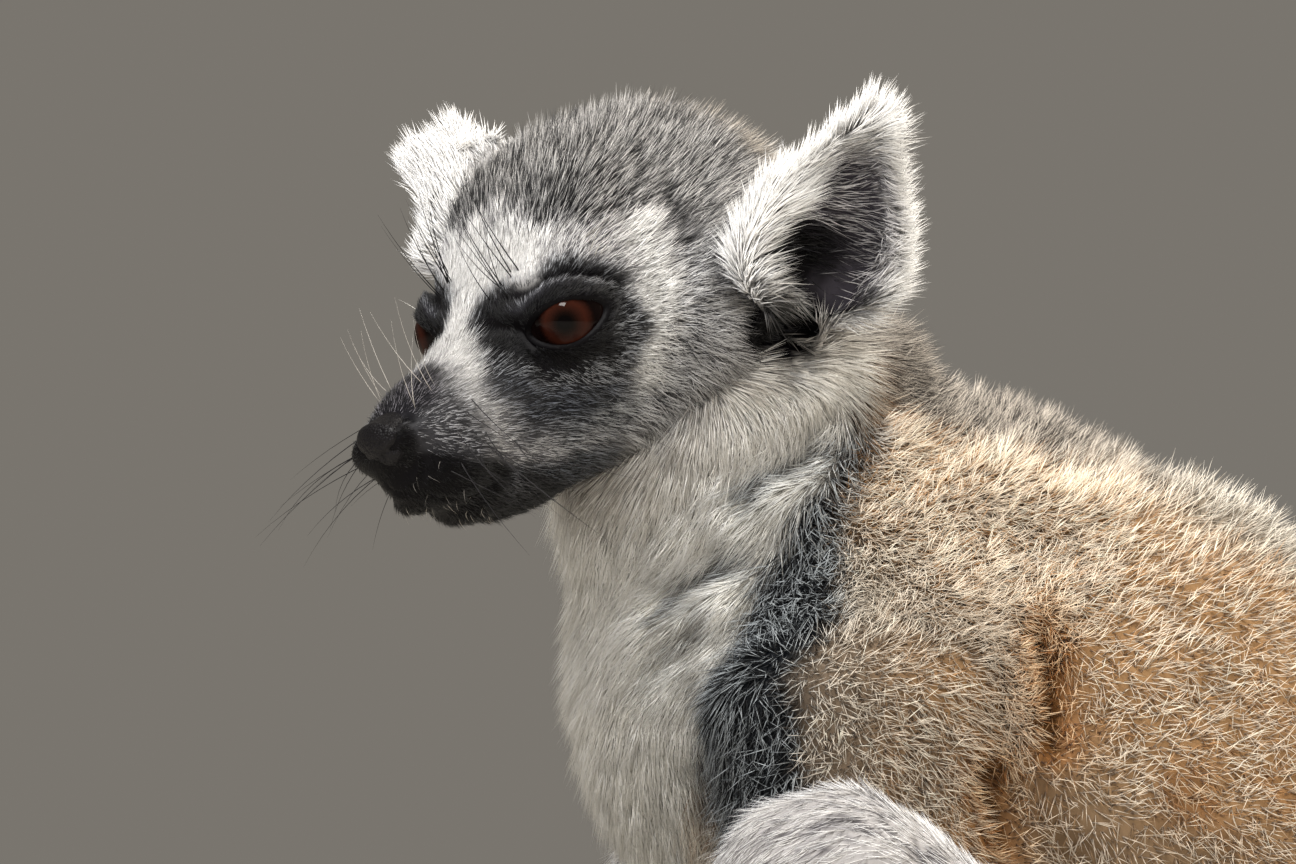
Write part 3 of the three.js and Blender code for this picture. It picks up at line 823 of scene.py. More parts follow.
def owned(*kinds):
    """Which points of the skin belong most to these kinds of part."""
    return np.isin(KINDS[OWNER], kinds)


TRUNK = part_share("body", "upper_arm")
PAWS = part_share("hand", "foot")
LIE = sum(places[name]["heading"] * BLEND[:, k : k + 1] for k, name in enumerate(NAMES))
ALONG = np.stack([places[name]["along"] for name in NAMES], 1)[np.arange(len(SKIN)), OWNER]
ROUND = np.stack([places[name]["round"] for name in NAMES], 1)[np.arange(len(SKIN)), OWNER]
IN_EAR = np.where(OWNER == NAMES.index("ear_left"), places["ear_left"]["inside"],
                  places["ear_right"]["inside"] & (OWNER == NAMES.index("ear_right")))


# ---- The coat's measures, at each point of the skin ----
def spread_of_kinds(table):
    """Each kind's numbers, blended over the skin as the parts blend."""
    return BLEND @ np.array([table[k] for k in KINDS], float)


LENGTH, WIDTH, LIFT, STRAY, DENSITY = range(5)  # millimetres twice, degrees twice, and a plain number
HAIR = spread_of_kinds({  # those five, in that order
    "head": (8.5, 0.42, 34, 13, 1.0),
    "ear": (8.0, 0.28, 20, 10, 1.0),
    "body": (6.4, 0.36, 62, 46, 1.0),
    "upper_arm": (6.2, 0.34, 60, 46, 2.1),
    "forearm": (7, 0.42, 22, 11, 0.9),
    "thigh": (8.5, 0.36, 20, 10, 1.0),
    "shank": (7, 0.38, 20, 10, 0.8),
    "hand": (3.6, 0.34, 14, 10, 1.0),
    "foot": (4.0, 0.36, 14, 10, 1.0),
    "tail": (12, 0.6, 32, 14, 1.0),
})
EAR_FLAP = [(30, 31, -9), (26.5, 38, -12.5), (27, 43, -11.5)]  # the bare black notch under each ear


def flap_distance():
    """How far each point of the skin is from the nearer ear's notch."""
    return near_line(on_left(HEAD_POINTS), EAR_FLAP)


def comb_head():
    """Hair on the head: shortest on the muzzle and about the eyes, longest in the ruff, and none on the lids'
    edge."""
    x, y, z = HEAD_POINTS.T
    length = np.interp(y, (-38, -30, -15, -4, 6, 22, 45, 60), (1.4, 2.2, 3.0, 3.4, 4.8, 5.4, 6.5, 7.0))
    lift = np.interp(y, (-38, -25, -6, 10, 24), (18, 20, 20, 34, 50))
    ruff = smooth(8, 24, y) * smooth(2, -14, z)
    length = length * (1 + 0.5 * ruff)
    width = 0.19 + 0.016 * length
    density = np.interp(y, (-38, -20, 0, 15, 30), (2.2, 2.1, 2.0, 1.2, 1.0))
    for side in (1, -1):
        offset = HEAD_POINTS - mirrored(EYE_AT, side)
        far = np.linalg.norm(offset, axis=1)
        past = lid_measure(unit(offset), side)[0]
        near = smooth(19, 11, far)
        length = length * (1 - 0.4 * near)
        density = density * (1 + 0.9 * near) * np.where(far < 13, smooth(2, 7, past), 1)
    share = part_share("head")[:, None]
    cheek = bell(np.hypot(y - 18, z + 10), 12) * smooth(10, 16, np.abs(x))
    stray = 9 + 5 * smooth(0, 20, y) + 4 * ruff + 16 * cheek
    lift = lift - 18 * ruff + 16 * cheek
    made = np.column_stack([length * (1 - 0.15 * cheek), width, lift, stray, density])
    HAIR[:] = HAIR * (1 - share) + made * share


def comb_ears():
    """The ear: long hair over the front half of the hollow, thin hair behind it, a fringe on the rims and a
    lock at the tip."""
    ear = owned("ear")
    front = IN_EAR * smooth(0.5, 0.75, ROUND)
    middle = IN_EAR * (1 - smooth(0.5, 0.75, ROUND)) * smooth(-0.93, -0.82, ROUND)
    middle = middle * smooth(0.9, 0.75, ALONG)
    rim = smooth(0.75, 0.95, np.abs(ROUND)) * ear
    tip = smooth(0.78, 0.95, ALONG) * ear
    behind = rim * (ROUND < 0)
    HAIR[:, LENGTH] *= 1 + 0.4 * front * smooth(0.85, 0.4, ALONG) - 0.1 * middle - 0.1 * rim + 0.25 * tip
    HAIR[:, WIDTH] *= 1 - 0.3 * middle
    HAIR[:, LENGTH] *= np.where(OWNER == NAMES.index("ear_right"), 0.62, 1)
    HAIR[:, LIFT] += 18 * behind * smooth(0.9, 0.5, ALONG) - 4 * (rim - behind) - 9 * tip
    HAIR[:, DENSITY] *= (1 - 0.62 * middle) * (1 + 1.3 * rim + 1.0 * front + tip)
    HAIR[:, DENSITY] *= np.where(IN_EAR & (ROUND < 0.7), smooth(0.04, 0.2, ALONG), 1)


def comb_body():
    """The rest: the throat and breast lie smooth and fine, the soles are bare, hair is short in the creases
    and sparse in the notch under the ear, and the knees are dense."""
    chest = smooth(10, -2, behind_chest(SKIN)) * TRUNK
    HAIR[:, LENGTH] *= 1 + 0.35 * chest
    HAIR[:, WIDTH] *= 1 - 0.15 * chest
    HAIR[:, LIFT] -= 38 * chest
    HAIR[:, STRAY] -= 36 * chest
    HAIR[:, DENSITY] *= 1 + 0.7 * chest
    under = smooth(-0.3, -0.7, SKIN_NORMAL[:, 2]) * smooth(9, 5, SKIN[:, 2]) * PAWS
    HAIR[:, DENSITY] *= 1 - under
    for line in FLANK_CREASES + NECK_CREASES:
        HAIR[:, LENGTH] *= 1 - 0.4 * line_bell(SKIN[:, 1:], line, 2.6) * TRUNK
    flap = smooth(6.5, 4.5, flap_distance())
    HAIR[:, LENGTH] *= 1 - 0.5 * flap
    HAIR[:, DENSITY] *= 1 - 0.88 * flap
    knees = part_share("thigh", "shank") * smooth(85, 115, SKIN[:, 2])
    HAIR[:, DENSITY] *= 1 + 2.0 * knees
    HAIR[:, WIDTH] *= 1 - 0.25 * knees
    HAIR[:, LIFT] -= 8 * knees


NECK_AT = np.array((6, -128, 236.0))  # the coat runs away from here over the breast, shoulders and nape
LIE_ROUNDS = 60  # how often each point's lie is made the mean of its neighbours', over the trunk


def comb_normal():
    """The way that hair lifts is the skin's normal, but on the outer face of an ear's tip it is made square
    to the way the ear points, so that the hair there runs on to a point."""
    for mark, side in SIDES:
        tip = unit(mirrored(EAR_TIP[side], side)) @ HEAD_TURNS.T
        near = (OWNER == NAMES.index(f"ear_{mark}")) * ~IN_EAR * smooth(0.65, 0.9, ALONG)
        LIFT_WAY[:] = unit(LIFT_WAY - dot(LIFT_WAY, tip) * tip * near[:, None])


def comb_lie():
    """Settles the way the coat lies: on the body's front part away from the neck's top, flat to the skin,
    smoothed over the trunk, parted at the flank's clefts and combed along the neck's creases."""
    fore = part_share("body") * smooth(0.55, 0.8, places["body"]["along"])
    for name in ("upper_arm_left", "upper_arm_right"):
        fore = fore + BLEND[:, NAMES.index(name)] * smooth(0.55, 0.1, places[name]["along"])
    away = unit(SKIN - NECK_AT)
    way = unit(LIE) * (1 - fore[:, None]) + away * fore[:, None]
    LIE[:] = unit(square_to(way, LIFT_WAY))
    loose = part_share("body", "upper_arm", "thigh")[:, None]
    a, b = np.concatenate([SKIN_FACES[:, (0, 1)], SKIN_FACES[:, (1, 2)], SKIN_FACES[:, (2, 0)]]).T
    for _ in range(LIE_ROUNDS):
        mean = np.column_stack([np.bincount(a, LIE[b, k], len(SKIN)) for k in range(3)])
        mean = unit(square_to(mean, LIFT_WAY))
        LIE[:] = unit(LIE * (1 - loose) + mean * loose)
    for line in FLANK_CREASES:
        far = near_line(SKIN[:, 1:], line)
        out = [(near_line(SKIN[:, 1:] + step, line) - far) * 10 for step in ((0.1, 0), (0, 0.1))]
        parted = (bell(far, 5) * TRUNK * (np.abs(SKIN[:, 0]) > 26))[:, None]
        way = LIE * (1 - parted) + np.column_stack([np.zeros(len(SKIN)), *out]) * parted
        LIE[:] = unit(square_to(way, LIFT_WAY))
    for line in NECK_CREASES:
        beside = line_bell(SKIN[:, 1:], line, 7) * TRUNK
        beside = (beside * smooth(8, 18, np.abs(SKIN[:, 0] - NECK_MIDDLE)))[:, None]
        way = LIE * (1 - beside) + unit(np.array((0, *np.subtract(line[-1], line[0])), float)) * beside
        LIE[:] = unit(square_to(way, LIFT_WAY))


LIFT_WAY = SKIN_NORMAL.copy()
comb_head()
comb_ears()
comb_body()
comb_normal()
comb_lie()
# A marking is seen where the tufts' tips lie, not where they are rooted
SHOWN = SKIN + LIE * (HAIR[:, LENGTH] * 0.5 * np.cos(np.radians(HAIR[:, LIFT])))[:, None]
SHOWN_HEAD = to_head(SHOWN)


# ---- Markings ----
def linear(code):
    """An sRGB hex colour as linear red, green and blue."""
    c = np.array([int(code[k : k + 2], 16) for k in (1, 3, 5)]) / 255
    return np.where(c <= 0.04045, c / 12.92, ((c + 0.055) / 1.055) ** 2.4)


TONES = {  # a light hair's colour, a dark one's, the share of dark hairs, and the colour at the root
    "white": ("#f0efed", "#b9b9bb", 0.24, "#b3b1af"),
    "crown": ("#b9b8b7", "#1e1e20", 0.60, "#171718"),
    # painted shade: the dark line in a crease of the temple's coat
    "crease": ("#4c4c51", "#131316", 0.75, "#101012"),
    "patch": ("#2a2a30", "#060508", 0.88, "#050406"),
    "speckle": ("#b9bcc1", "#101013", 0.60, "#0c0b0e"),
    # painted highlight: the pale band along the upper lid's ridge
    "painted_lid_highlight": ("#b5b7bd", "#2b2a2f", 0.35, "#3a3a40"),
    "under_eye": ("#6f7684", "#101218", 0.72, "#0d0e12"),
    "muzzle": ("#bfc0c6", "#1a1a1e", 0.56, "#19191d"),
    "nose_top": ("#89868d", "#131216", 0.66, "#131216"),
    "lip": ("#2b2a30", "#060507", 0.86, "#060507"),
    "temple": ("#eceaea", "#4e4d51", 0.36, "#656465"),
    "cheek": ("#e2e3e6", "#1d1e23", 0.42, "#232428"),
    "jowl": ("#d2d5d8", "#202226", 0.46, "#26282c"),
    "jaw": ("#868c95", "#14161b", 0.62, "#101115"),
    "ruff": ("#f8f8f6", "#d3d2cf", 0.20, "#cfcecb"),
    "nape": ("#bdb5aa", "#34302d", 0.50, "#3a3531"),
    "ear_hollow": ("#dddbdd", "#55525a", 0.30, "#3b383f"),
    "throat": ("#f6f5f0", "#dfdcd4", 0.25, "#dcd9d1"),
    # painted shade: soft grey blotches between the folds of the throat's coat
    "painted_fold_shade": ("#a09f9a", "#4c4b48", 0.55, "#474643"),
    "band": ("#bcc3c7", "#0e1217", 0.58, "#0b0e12"),
    "shoulder": ("#efe5d5", "#67594a", 0.33, "#6f6152"),
    "back": ("#f6ead8", "#b58a5e", 0.26, "#8f7150"),
    "tan": ("#edc795", "#a4642b", 0.36, "#855b32"),
    "silver": ("#e9e3d8", "#8f8576", 0.32, "#84796a"),
    "flank": ("#ecdfcd", "#94795a", 0.32, "#7c6750"),
    # painted shade: dark brown in the middle of each flank cleft
    "painted_cleft_shade": ("#8a5a2c", "#33200f", 0.65, "#25170b"),
    "belly": ("#f4f1ea", "#dcd7cd", 0.22, "#d2ccc1"),
    "arm": ("#cfccc8", "#6b6764", 0.35, "#605c59"),
    "leg": ("#f6f5f3", "#57545a", 0.22, "#aba8a7"),
    "fleck": ("#a9a7aa", "#201e23", 0.70, "#4b484c"),
    "paw": ("#e3e0db", "#8d8985", 0.25, "#7a7571"),
    "sole": ("#4c4647", "#2a2728", 0.50, "#2a2627"),
    "ring_white": ("#f3f1ec", "#cfccc6", 0.18, "#a5a19b"),
    "ring_black": ("#2b2a2d", "#0e0d0f", 0.75, "#0d0c0e"),
}
LIGHT_TONE, DARK_TONE, ROOT_TONE, DARK_SHARE = slice(0, 3), slice(3, 6), slice(6, 9), 9
tone = np.zeros((len(SKIN), 10))


def tone_row(name):
    """A marking's numbers in one row: light, dark and root colour, and the share of dark hairs."""
    light, dark, share, root = TONES[name]
    return np.concatenate([linear(light), linear(dark), linear(root), [share]])


def paint(name, mask):
    """Lays a marking over what is there, as strongly as its mask says."""
    mask = np.clip(mask, 0, 1)[:, None]
    tone[:] = tone * (1 - mask) + tone_row(name) * mask


def inside(points, corners, edge):
    """A soft polygon for points in a plane: 1 inside, 0 outside, over a band that wide across its border. A
    point is inside if a ray from it crosses the border an odd number of times."""
    a = np.array(corners, float)
    x, y = points.T
    far = np.full(len(points), 1e9)
    within = np.zeros(len(points), bool)
    for (ax, ay), (bx, by) in zip(a, np.roll(a, -1, 0)):
        share = ((x - ax) * (bx - ax) + (y - ay) * (by - ay)) / ((bx - ax) ** 2 + (by - ay) ** 2)
        share = np.clip(share, 0, 1)
        far = np.minimum(far, np.hypot(x - ax - share * (bx - ax), y - ay - share * (by - ay)))
        rise = by - ay if by != ay else 1e-9
        within ^= ((ay > y) != (by > y)) & (x < ax + (y - ay) / rise * (bx - ax))
    return smooth(-edge / 2, edge / 2, np.where(within, far, -far))


# These outlines are places out and up from the eye, in a plane square to the gaze
PATCH = [(-15.5, 8), (-11.2, 8.6), (-3, 10.6), (3.7, 11.2), (10, 8.2), (13.2, 0.6), (13.2, -6.1),
         (9.8, -11.2), (3.3, -12.2), (-3.3, -11), (-9.8, -8.2), (-15.4, -5), (-18.8, 2.2)]
UNDER_EYE = [(-16, -1), (-5, -8), (4, -10), (8, -9.5), (6, -15.5), (-3, -19), (-11, -19), (-14.5, -10)]
# These and the lines after them are places back and up from the point between the eyes
CHEEK = [(22, 10), (28, 8), (33, 0), (32.5, -13), (27, -20), (20.5, -26), (11, -25), (9, -17), (13, -12.4),
         (16.7, -5.9), (18.5, 1.1)]
JOWL = [(-16, -14), (-4, -13), (6, -12), (10, -18), (14, -26), (6, -31), (-6, -29), (-14, -24)]
TEMPLE_STRIPE = [(15.2, 12), (14.8, 6), (14, 0), (12.5, -7), (10.5, -14)]
# a line of painted shade, where the temple's coat creases
TEMPLE_CREASE_SHADE = [(20.6, 17), (21.2, 12.5), (22, 9)]
LIP_LINE = [(-38, -13.5), (-34, -15.9), (-24, -19.3), (-12.5, -25.5), (-3.9, -29), (4, -31)]  # y and its top


def paint_head():
    """The mask of a ring-tailed lemur: white brow, bridge and temples, black round the eyes and on the
    muzzle, a grizzled grey crown and cheeks, and a white ruff. Both sides are alike."""
    ragged = np.column_stack([noise(SKIN, 7, k) for k in (1, 2, 3)]) * 0.8
    q = on_left(SHOWN_HEAD) + ragged
    x, y, z = q.T
    sideways = q[:, 1:]
    line_noise = noise(SKIN, 3.5, 4) * 1.3
    on_head = part_share("head")
    outer = on_head * smooth(12, 18, x)
    paint("temple", on_head)
    behind_brow = smooth(17, 22, y) * smooth(5, 11, z)
    paint("crown", on_head * np.maximum(smooth(18.8, 22.2, z + 0.2 * x), behind_brow))
    paint("ruff", on_head * smooth(29, 34, y) * smooth(4, -4, z))
    paint("nape", on_head * smooth(46, 54, y + 0.25 * z))
    paint("ruff", on_head * smooth(-20, -26, z) * smooth(8, 16, y))
    paint("jowl", outer * inside(sideways, JOWL, 6))
    paint("cheek", outer * inside(sideways, CHEEK, 3.5))
    paint("ruff", outer * line_bell(sideways, TEMPLE_STRIPE, 3.0) * 0.75)
    # A dark line of painted shade in the crease of the temple's coat
    paint("crease", outer * line_bell(sideways, TEMPLE_CREASE_SHADE, 1.5))
    paint("white", on_head * smooth(21.4, 17.6, z + 0.2 * x + line_noise) * smooth(18, 11, x + line_noise)
          * smooth(4, 10, z))
    bridge = line_bell(q, [(0, -10, 8), (3, -16, 0), (8, -21, -6), (12, -20, -12)], 4.6)
    paint("white", on_head * bridge * (0.35 + 0.65 * smooth(-13, -2, z)))
    paint("muzzle", on_head * smooth(-19, -25, y) * smooth(-24, -18, z) * 0.85)
    paint("nose_top", on_head * smooth(1.25, 0.8, np.linalg.norm((q - (0, -30, -5)) / (8, 11, 6), axis=1)))
    paint("jaw", on_head * smooth(14, 6, y) * smooth(-21, -26, z))
    lip_top = np.interp(y, *np.array(LIP_LINE, float).T)
    paint("lip", on_head * smooth(0.8, -1.2, z - lip_top) * smooth(11, 6, y))
    paint("lip", on_head * smooth(-32.5, -35.5, y))
    paint("lip", on_head * line_bell(q, SLIT, 1.3))
    paint("muzzle", on_head * 0.8 * bell(np.linalg.norm(q - (9.5, -14.5, -26), axis=1), 2.6))
    offset = q - EYE_AT
    look, out, up = gaze_axes(1)
    plane = np.column_stack([offset @ out, offset @ up])
    ahead = on_head * smooth(-14, -8, offset @ look) * smooth(2.2, 4.2, x)
    paint("under_eye", ahead * inside(plane, UNDER_EYE, 5) * 0.9)
    paint("speckle", ahead * inside(plane, PATCH, 3))
    paint("patch", ahead * inside(plane * np.where(plane > 0, (1.75, 1.3), (1.14, 1.35)), PATCH, 3.5))
    root = on_left(HEAD_POINTS) - EYE_AT
    past, s = lid_measure(unit(root), 1)
    close = on_head * smooth(14, 11.5, np.linalg.norm(root, axis=1))
    paint("patch", close * smooth(28, 15, past))
    # The pale band along the upper lid's ridge is a painted highlight. The crease above it is painted the
    # patch's black, which is its own colour and also painted shade in the crease.
    paint("painted_lid_highlight", close * bell(past - RIDGE_AT, 5.0) * smooth(0.35, 0.6, s) * 0.85)
    paint("patch", close * bell(past - CREASE_AT, 7) * smooth(0.05, 0.4, s))
    paint("patch", close * smooth(11, 6, past))


def paint_body():
    """The body's colours: a buff back with tan patches, silver along its top, brown-grey flanks and a white
    belly."""
    body = part_share("body")
    drift = noise(SKIN, 60, 11) * 0.35 + noise(SKIN, 22, 12) * 0.2
    dorsal = np.sin(places["body"]["round"])
    paint("back", body)
    paint("tan", body * 0.6 * smooth(0.2, 0.7, drift + 0.3 * noise(SKIN, 11, 13)))
    paint("silver", body * smooth(0.80, 0.97, dorsal + drift * 0.1))
    paint("flank", body * smooth(0.25, -0.15, dorsal + drift * 0.3))


RING_COUNT = 27  # dark and pale rings together, the last one dark


def paint_limbs():
    """Pale grey arms, silver legs, near-white hands and feet with dark soles, and the tail's rings."""
    paint("back", part_share("upper_arm"))
    paint("shoulder", 0.7 * part_share("upper_arm") * smooth(-0.3, 0.5, noise(SKIN, 22, 14)))
    paint("arm", part_share("forearm") + part_share("upper_arm") * smooth(146, 122, SKIN[:, 2]))
    leg = part_share("thigh", "shank")
    paint("leg", leg)
    paint("fleck", leg * 0.9 * smooth(0.45, 0.95, noise(SKIN, 3.4, 15) + 0.5 * noise(SKIN, 12, 16)))
    paint("paw", PAWS)
    under = smooth(-0.35, -0.75, SKIN_NORMAL[:, 2]) * smooth(9, 5, SKIN[:, 2])
    paint("sole", PAWS * under)
    rings = places["tail"]["along"] * RING_COUNT
    black = smooth(-0.18, 0.18, np.sin(rings * math.pi - math.pi))
    paint("ring_white", part_share("tail"))
    last = smooth(RING_COUNT - 1.1, RING_COUNT - 0.9, rings)
    paint("ring_black", part_share("tail") * np.maximum(black, last))


def paint_neck():
    """The neck: a cream throat and breast with faint grey blotches of painted shade between the coat's folds,
    behind its edge a dark grizzled band that widens downwards, then a paler shoulder that fades to the back's
    buff. The neck's creases are painted dark, as painted shade in them, and each flank cleft is painted tan
    along it and dark brown in its middle, as painted shade in the cleft."""
    forward = np.maximum(places["body"]["along"], part_share("upper_arm"))
    fore = TRUNK * smooth(0.46, 0.64, forward)
    side_way = np.abs(SHOWN[:, 0] - NECK_MIDDLE)
    height = SHOWN[:, 2]
    behind = behind_chest(SHOWN) + noise(SKIN, 14, 21) * 1.6
    behind = behind + 8 * part_share("upper_arm") * smooth(186, 174, height)
    wide = np.interp(height, (100, 149, 170, 190, 209, 222), (26, 24, 20, 14, 9, 8))
    paint("shoulder", fore * smooth(wide + 26, wide + 6, behind) * smooth(212, 190, height)
          * smooth(20, 32, side_way))
    paint("throat", fore * smooth(3, -1, behind))
    dorsal = np.sin(places["body"]["round"]) + noise(SKIN, 30, 25) * 0.06
    paint("nape", fore * smooth(0.5, 0.8, dorsal) * smooth(204, 220, height) * smooth(19, 13, side_way))
    paint("belly", part_share("body") * smooth(-0.35, -0.62, dorsal) * smooth(150, 135, height)
          * smooth(0, 6, behind))
    # Soft grey blotches on the throat's sides: painted shade between the coat's folds
    painted_fold_shade = smooth(0.2, 0.9, noise(SHOWN * (1, 1, 0.5), 10, 22)) * smooth(14, 28, side_way)
    paint("painted_fold_shade", fore * 0.45 * painted_fold_shade * smooth(1, -3, behind) * smooth(150, 165, height)
          * smooth(222, 210, height))
    edge = smooth(-1.2, 1.2, behind) * smooth(wide + 5, wide - 3, behind)
    paint("band", fore * edge * smooth(16, 24, side_way) * smooth(92, 128, height))
    rough = SKIN[:, 1:] + np.column_stack([noise(SKIN, 9, 23), noise(SKIN, 9, 24)]) * 1.2
    # Each neck crease is painted in the band's dark tone: painted shade in the crease
    for line, dark in zip(NECK_CREASES, NECK_CREASE_SHADE):
        paint("band", fore * dark * smooth(12, 20, side_way) * line_bell(rough, line, 2.4))
    # Each flank cleft is painted tan along it, and dark brown in its middle as painted shade in the cleft
    for line in FLANK_CREASES:
        crease = TRUNK * smooth(26, 34, side_way)
        paint("tan", crease * line_bell(rough, line, 5.5))
        paint("painted_cleft_shade", crease * line_bell(rough, line, 2.0))


def paint_ears():
    """White ears, with a grey-violet hollow under thin pale hairs and black at its foot."""
    paint("white", part_share("ear"))
    paint("patch", IN_EAR * smooth(0.2, 0.1, ALONG))
    hollow = IN_EAR * smooth(0.75, 0.6, ROUND) * smooth(-0.93, -0.85, ROUND)
    paint("ear_hollow", hollow * smooth(0.88, 0.72, ALONG))
    foot_of_hollow = smooth(1.0, 0.85, ROUND) * smooth(-0.6, -0.2, ROUND)
    paint("patch", IN_EAR * foot_of_hollow * smooth(0.38, 0.24, ALONG))


paint_body()
paint_limbs()
paint_neck()
paint_head()
paint_ears()
paint("patch", smooth(7, 5, flap_distance() + noise(SKIN, 5, 5) * 0.8))  # last, over head and neck alike


# ---- Tufts ----
def clumps(p, cell, salt):
    """The nearest point of a jittered lattice, where each cell of a cubic net holds one point at a hashed
    place, and two random numbers of that clump's own."""
    base = np.floor(p / cell)
    best = np.full(len(p), 1e18)
    centre, index = np.zeros_like(p), np.zeros_like(p)
    for step in itertools.product((-1, 0, 1), repeat=3):
        here = base + step
        spot = (here + np.column_stack([hashed(here, salt + k) for k in range(3)])) * cell
        gap = ((spot - p) ** 2).sum(1)
        nearer = gap < best
        best = np.where(nearer, gap, best)
        centre = np.where(nearer[:, None], spot, centre)
        index = np.where(nearer[:, None], here, index)
    return centre, hashed(index, salt + 5), hashed(index, salt + 6)


def rooted(chosen, count, rng):
    """count roots spread evenly by area times density over the chosen triangles: evenly stepped in the
    running sum of the triangles' weights, each at a random place in its triangle. Gives a function that
    reads any of the skin's values there."""
    faces = SKIN_FACES[chosen]
    a, b, c = (SKIN[faces[:, k]] for k in range(3))
    area = np.linalg.norm(np.cross(b - a, c - a), axis=1)
    running = np.cumsum(area * HAIR[faces, DENSITY].mean(1))
    pick = np.searchsorted(running, (np.arange(count) + rng.random(count)) / count * running[-1])
    corner = faces[np.minimum(pick, len(faces) - 1)]
    u, v = np.sqrt(rng.random(count)), rng.random(count)
    weights = np.column_stack([1 - u, u * (1 - v), u * v])

    def read(values):
        picked = values[corner]
        return np.einsum("ij,ij...->i...", weights, picked)

    return read


BEND_AT = 0.42  # where a bent tuft bends, as a share of its length
TUFT_FLATNESS = 0.6  # its thickness over its width


def tuft_points(root, normal, lie, length, width, lift, drop, bent, rng):
    """Corners of the tufts. A straight one is a three-sided spike. A bent one is a spindle: a root, three
    points round its axis where it bends, and a tip; its outer half leans nearer to the skin."""
    side = np.cross(lie, normal)
    rise, fall = np.radians(lift)[:, None], np.radians(drop)[:, None]
    first = lie * np.cos(rise) + normal * np.sin(rise)
    last = lie * np.cos(fall) + normal * np.sin(fall)
    over = np.cross(side, first)
    roll = rng.uniform(0, 2 * math.pi, (len(root), 1)) + even_angles(3)
    circle = np.cos(roll)[..., None] * side[:, None] + np.sin(roll)[..., None] * over[:, None] * TUFT_FLATNESS
    circle = circle * (width / 2)[:, None, None]
    length = length[:, None]
    if not bent:
        tip = root + (first + last) / 2 * length
        return np.concatenate([root[:, None] + circle, tip[:, None]], 1)
    middle = root + first * length * BEND_AT
    tip = middle + last * length * (1 - BEND_AT)
    return np.concatenate([root[:, None], middle[:, None] + circle, tip[:, None]], 1)


PATCH_HALF = 0.0015  # half of a tuft's patch on the unwrap
PALE_POWER = 0.7  # below 1, so the tip's colour comes early
STRAIGHT = (  # a tuft's triangles, its corners on the unwrap, and how far each is from root to tip in colour
    np.array(((0, 1, 3), (1, 2, 3), (2, 0, 3), (2, 1, 0))),
    np.array(((-1, -1), (1, -1), (0, -0.4), (0, 1))) * PATCH_HALF,
    np.array((0.15, 0.15, 0.15, 1)) ** PALE_POWER,
)
BENT = (
    np.array(((0, 2, 1), (0, 3, 2), (0, 1, 3), (4, 1, 2), (4, 2, 3), (4, 3, 1))),
    np.array(((0, -1), (-1, -0.2), (1, -0.2), (0, 0.2), (0, 1))) * PATCH_HALF,
    np.array((0.0, 0.62, 0.62, 0.62, 1)) ** PALE_POWER,
)
ROOT_DEPTH = 0.25  # how far under the skin a tuft starts
GROUND_GAP = 0.1  # no tuft comes nearer to the floor


def coat_piece(name, chosen, count, bent, clump, cell, seed, material):
    """One piece of the coat: tufts on the chosen triangles, joined in one mesh, with each corner's colour and
    the small patch of the unwrap that each tuft has at its root's place. The tufts of a clump are drawn to
    its middle and share a swing, a length and a lift."""
    triangles, patch_corners, pale = BENT if bent else STRAIGHT
    rng = np.random.default_rng(seed)
    read = rooted(chosen, count, rng)
    root, normal, lie = read(SKIN), unit(read(LIFT_WAY)), read(LIE)
    length, width, lift, stray, _ = read(HAIR).T
    tones = read(tone)
    centre, lot, second_lot = clumps(root, cell, seed)
    swing = rng.normal(0, 1, count) * stray + (lot - 0.5) * stray * 1.6
    swing = swing + noise(root, 28, seed + 1) * stray * 0.4
    lie = unit(square_to(lie, normal))
    turn = np.radians(swing)[:, None]
    lie = lie * np.cos(turn) + np.cross(normal, lie) * np.sin(turn)
    length = length * rng.uniform(0.72, 1.15, count) * (0.85 + 0.3 * second_lot)
    width = width * rng.uniform(0.75, 1.25, count)
    lift = lift * (0.75 + 0.5 * second_lot) + rng.normal(0, 0.22, count) * lift
    drop = lift * rng.uniform(0.35, 1.0, count)
    corners = tuft_points(root - normal * ROOT_DEPTH, normal, lie, length, width, lift, drop, bent, rng)
    pull = square_to(centre - root, normal)
    corners[:, -1] += pull * clump
    if bent:
        corners[:, 1:4] += (pull * clump * 0.35)[:, None]
    corners[..., 2] = np.maximum(corners[..., 2], GROUND_GAP)

    light, dark, base, share = (tones[:, k] for k in (LIGHT_TONE, DARK_TONE, ROOT_TONE, DARK_SHARE))
    dusk = rng.random(count) * 0.75 + lot * 0.25
    pick = smooth(-0.08, 0.08, share - dusk)[:, None]
    uneven = 1 + rng.normal(0, 0.09, (count, 1)) + (second_lot[:, None] - 0.5) * 0.16
    tip = (light * (1 - pick) + dark * pick) * uneven
    base = base * (1 + rng.normal(0, 0.08, (count, 1)))
    pale = pale[None, :, None]
    colour = np.clip(base[:, None] * (1 - pale) + tip[:, None] * pale, 0.002, 0.95)

    faces = triangles[None] + (np.arange(count) * corners.shape[1])[:, None, None]
    faces = faces.reshape(-1, 3)
    made = new_object(name, corners.reshape(-1, 3), faces.tolist())
    colour_points(made, colour.reshape(-1, 3))
    spot = np.clip(read(UNWRAP), 2 * PATCH_HALF, 1 - 2 * PATCH_HALF)
    patch = (spot[:, None] + patch_corners).reshape(-1, 2)
    layer = made.data.uv_layers.new(name="OFBake")
    layer.data.foreach_set("uv", patch[faces.ravel()].astype(np.float32).ravel())
    made.data.materials.append(material)
    return made


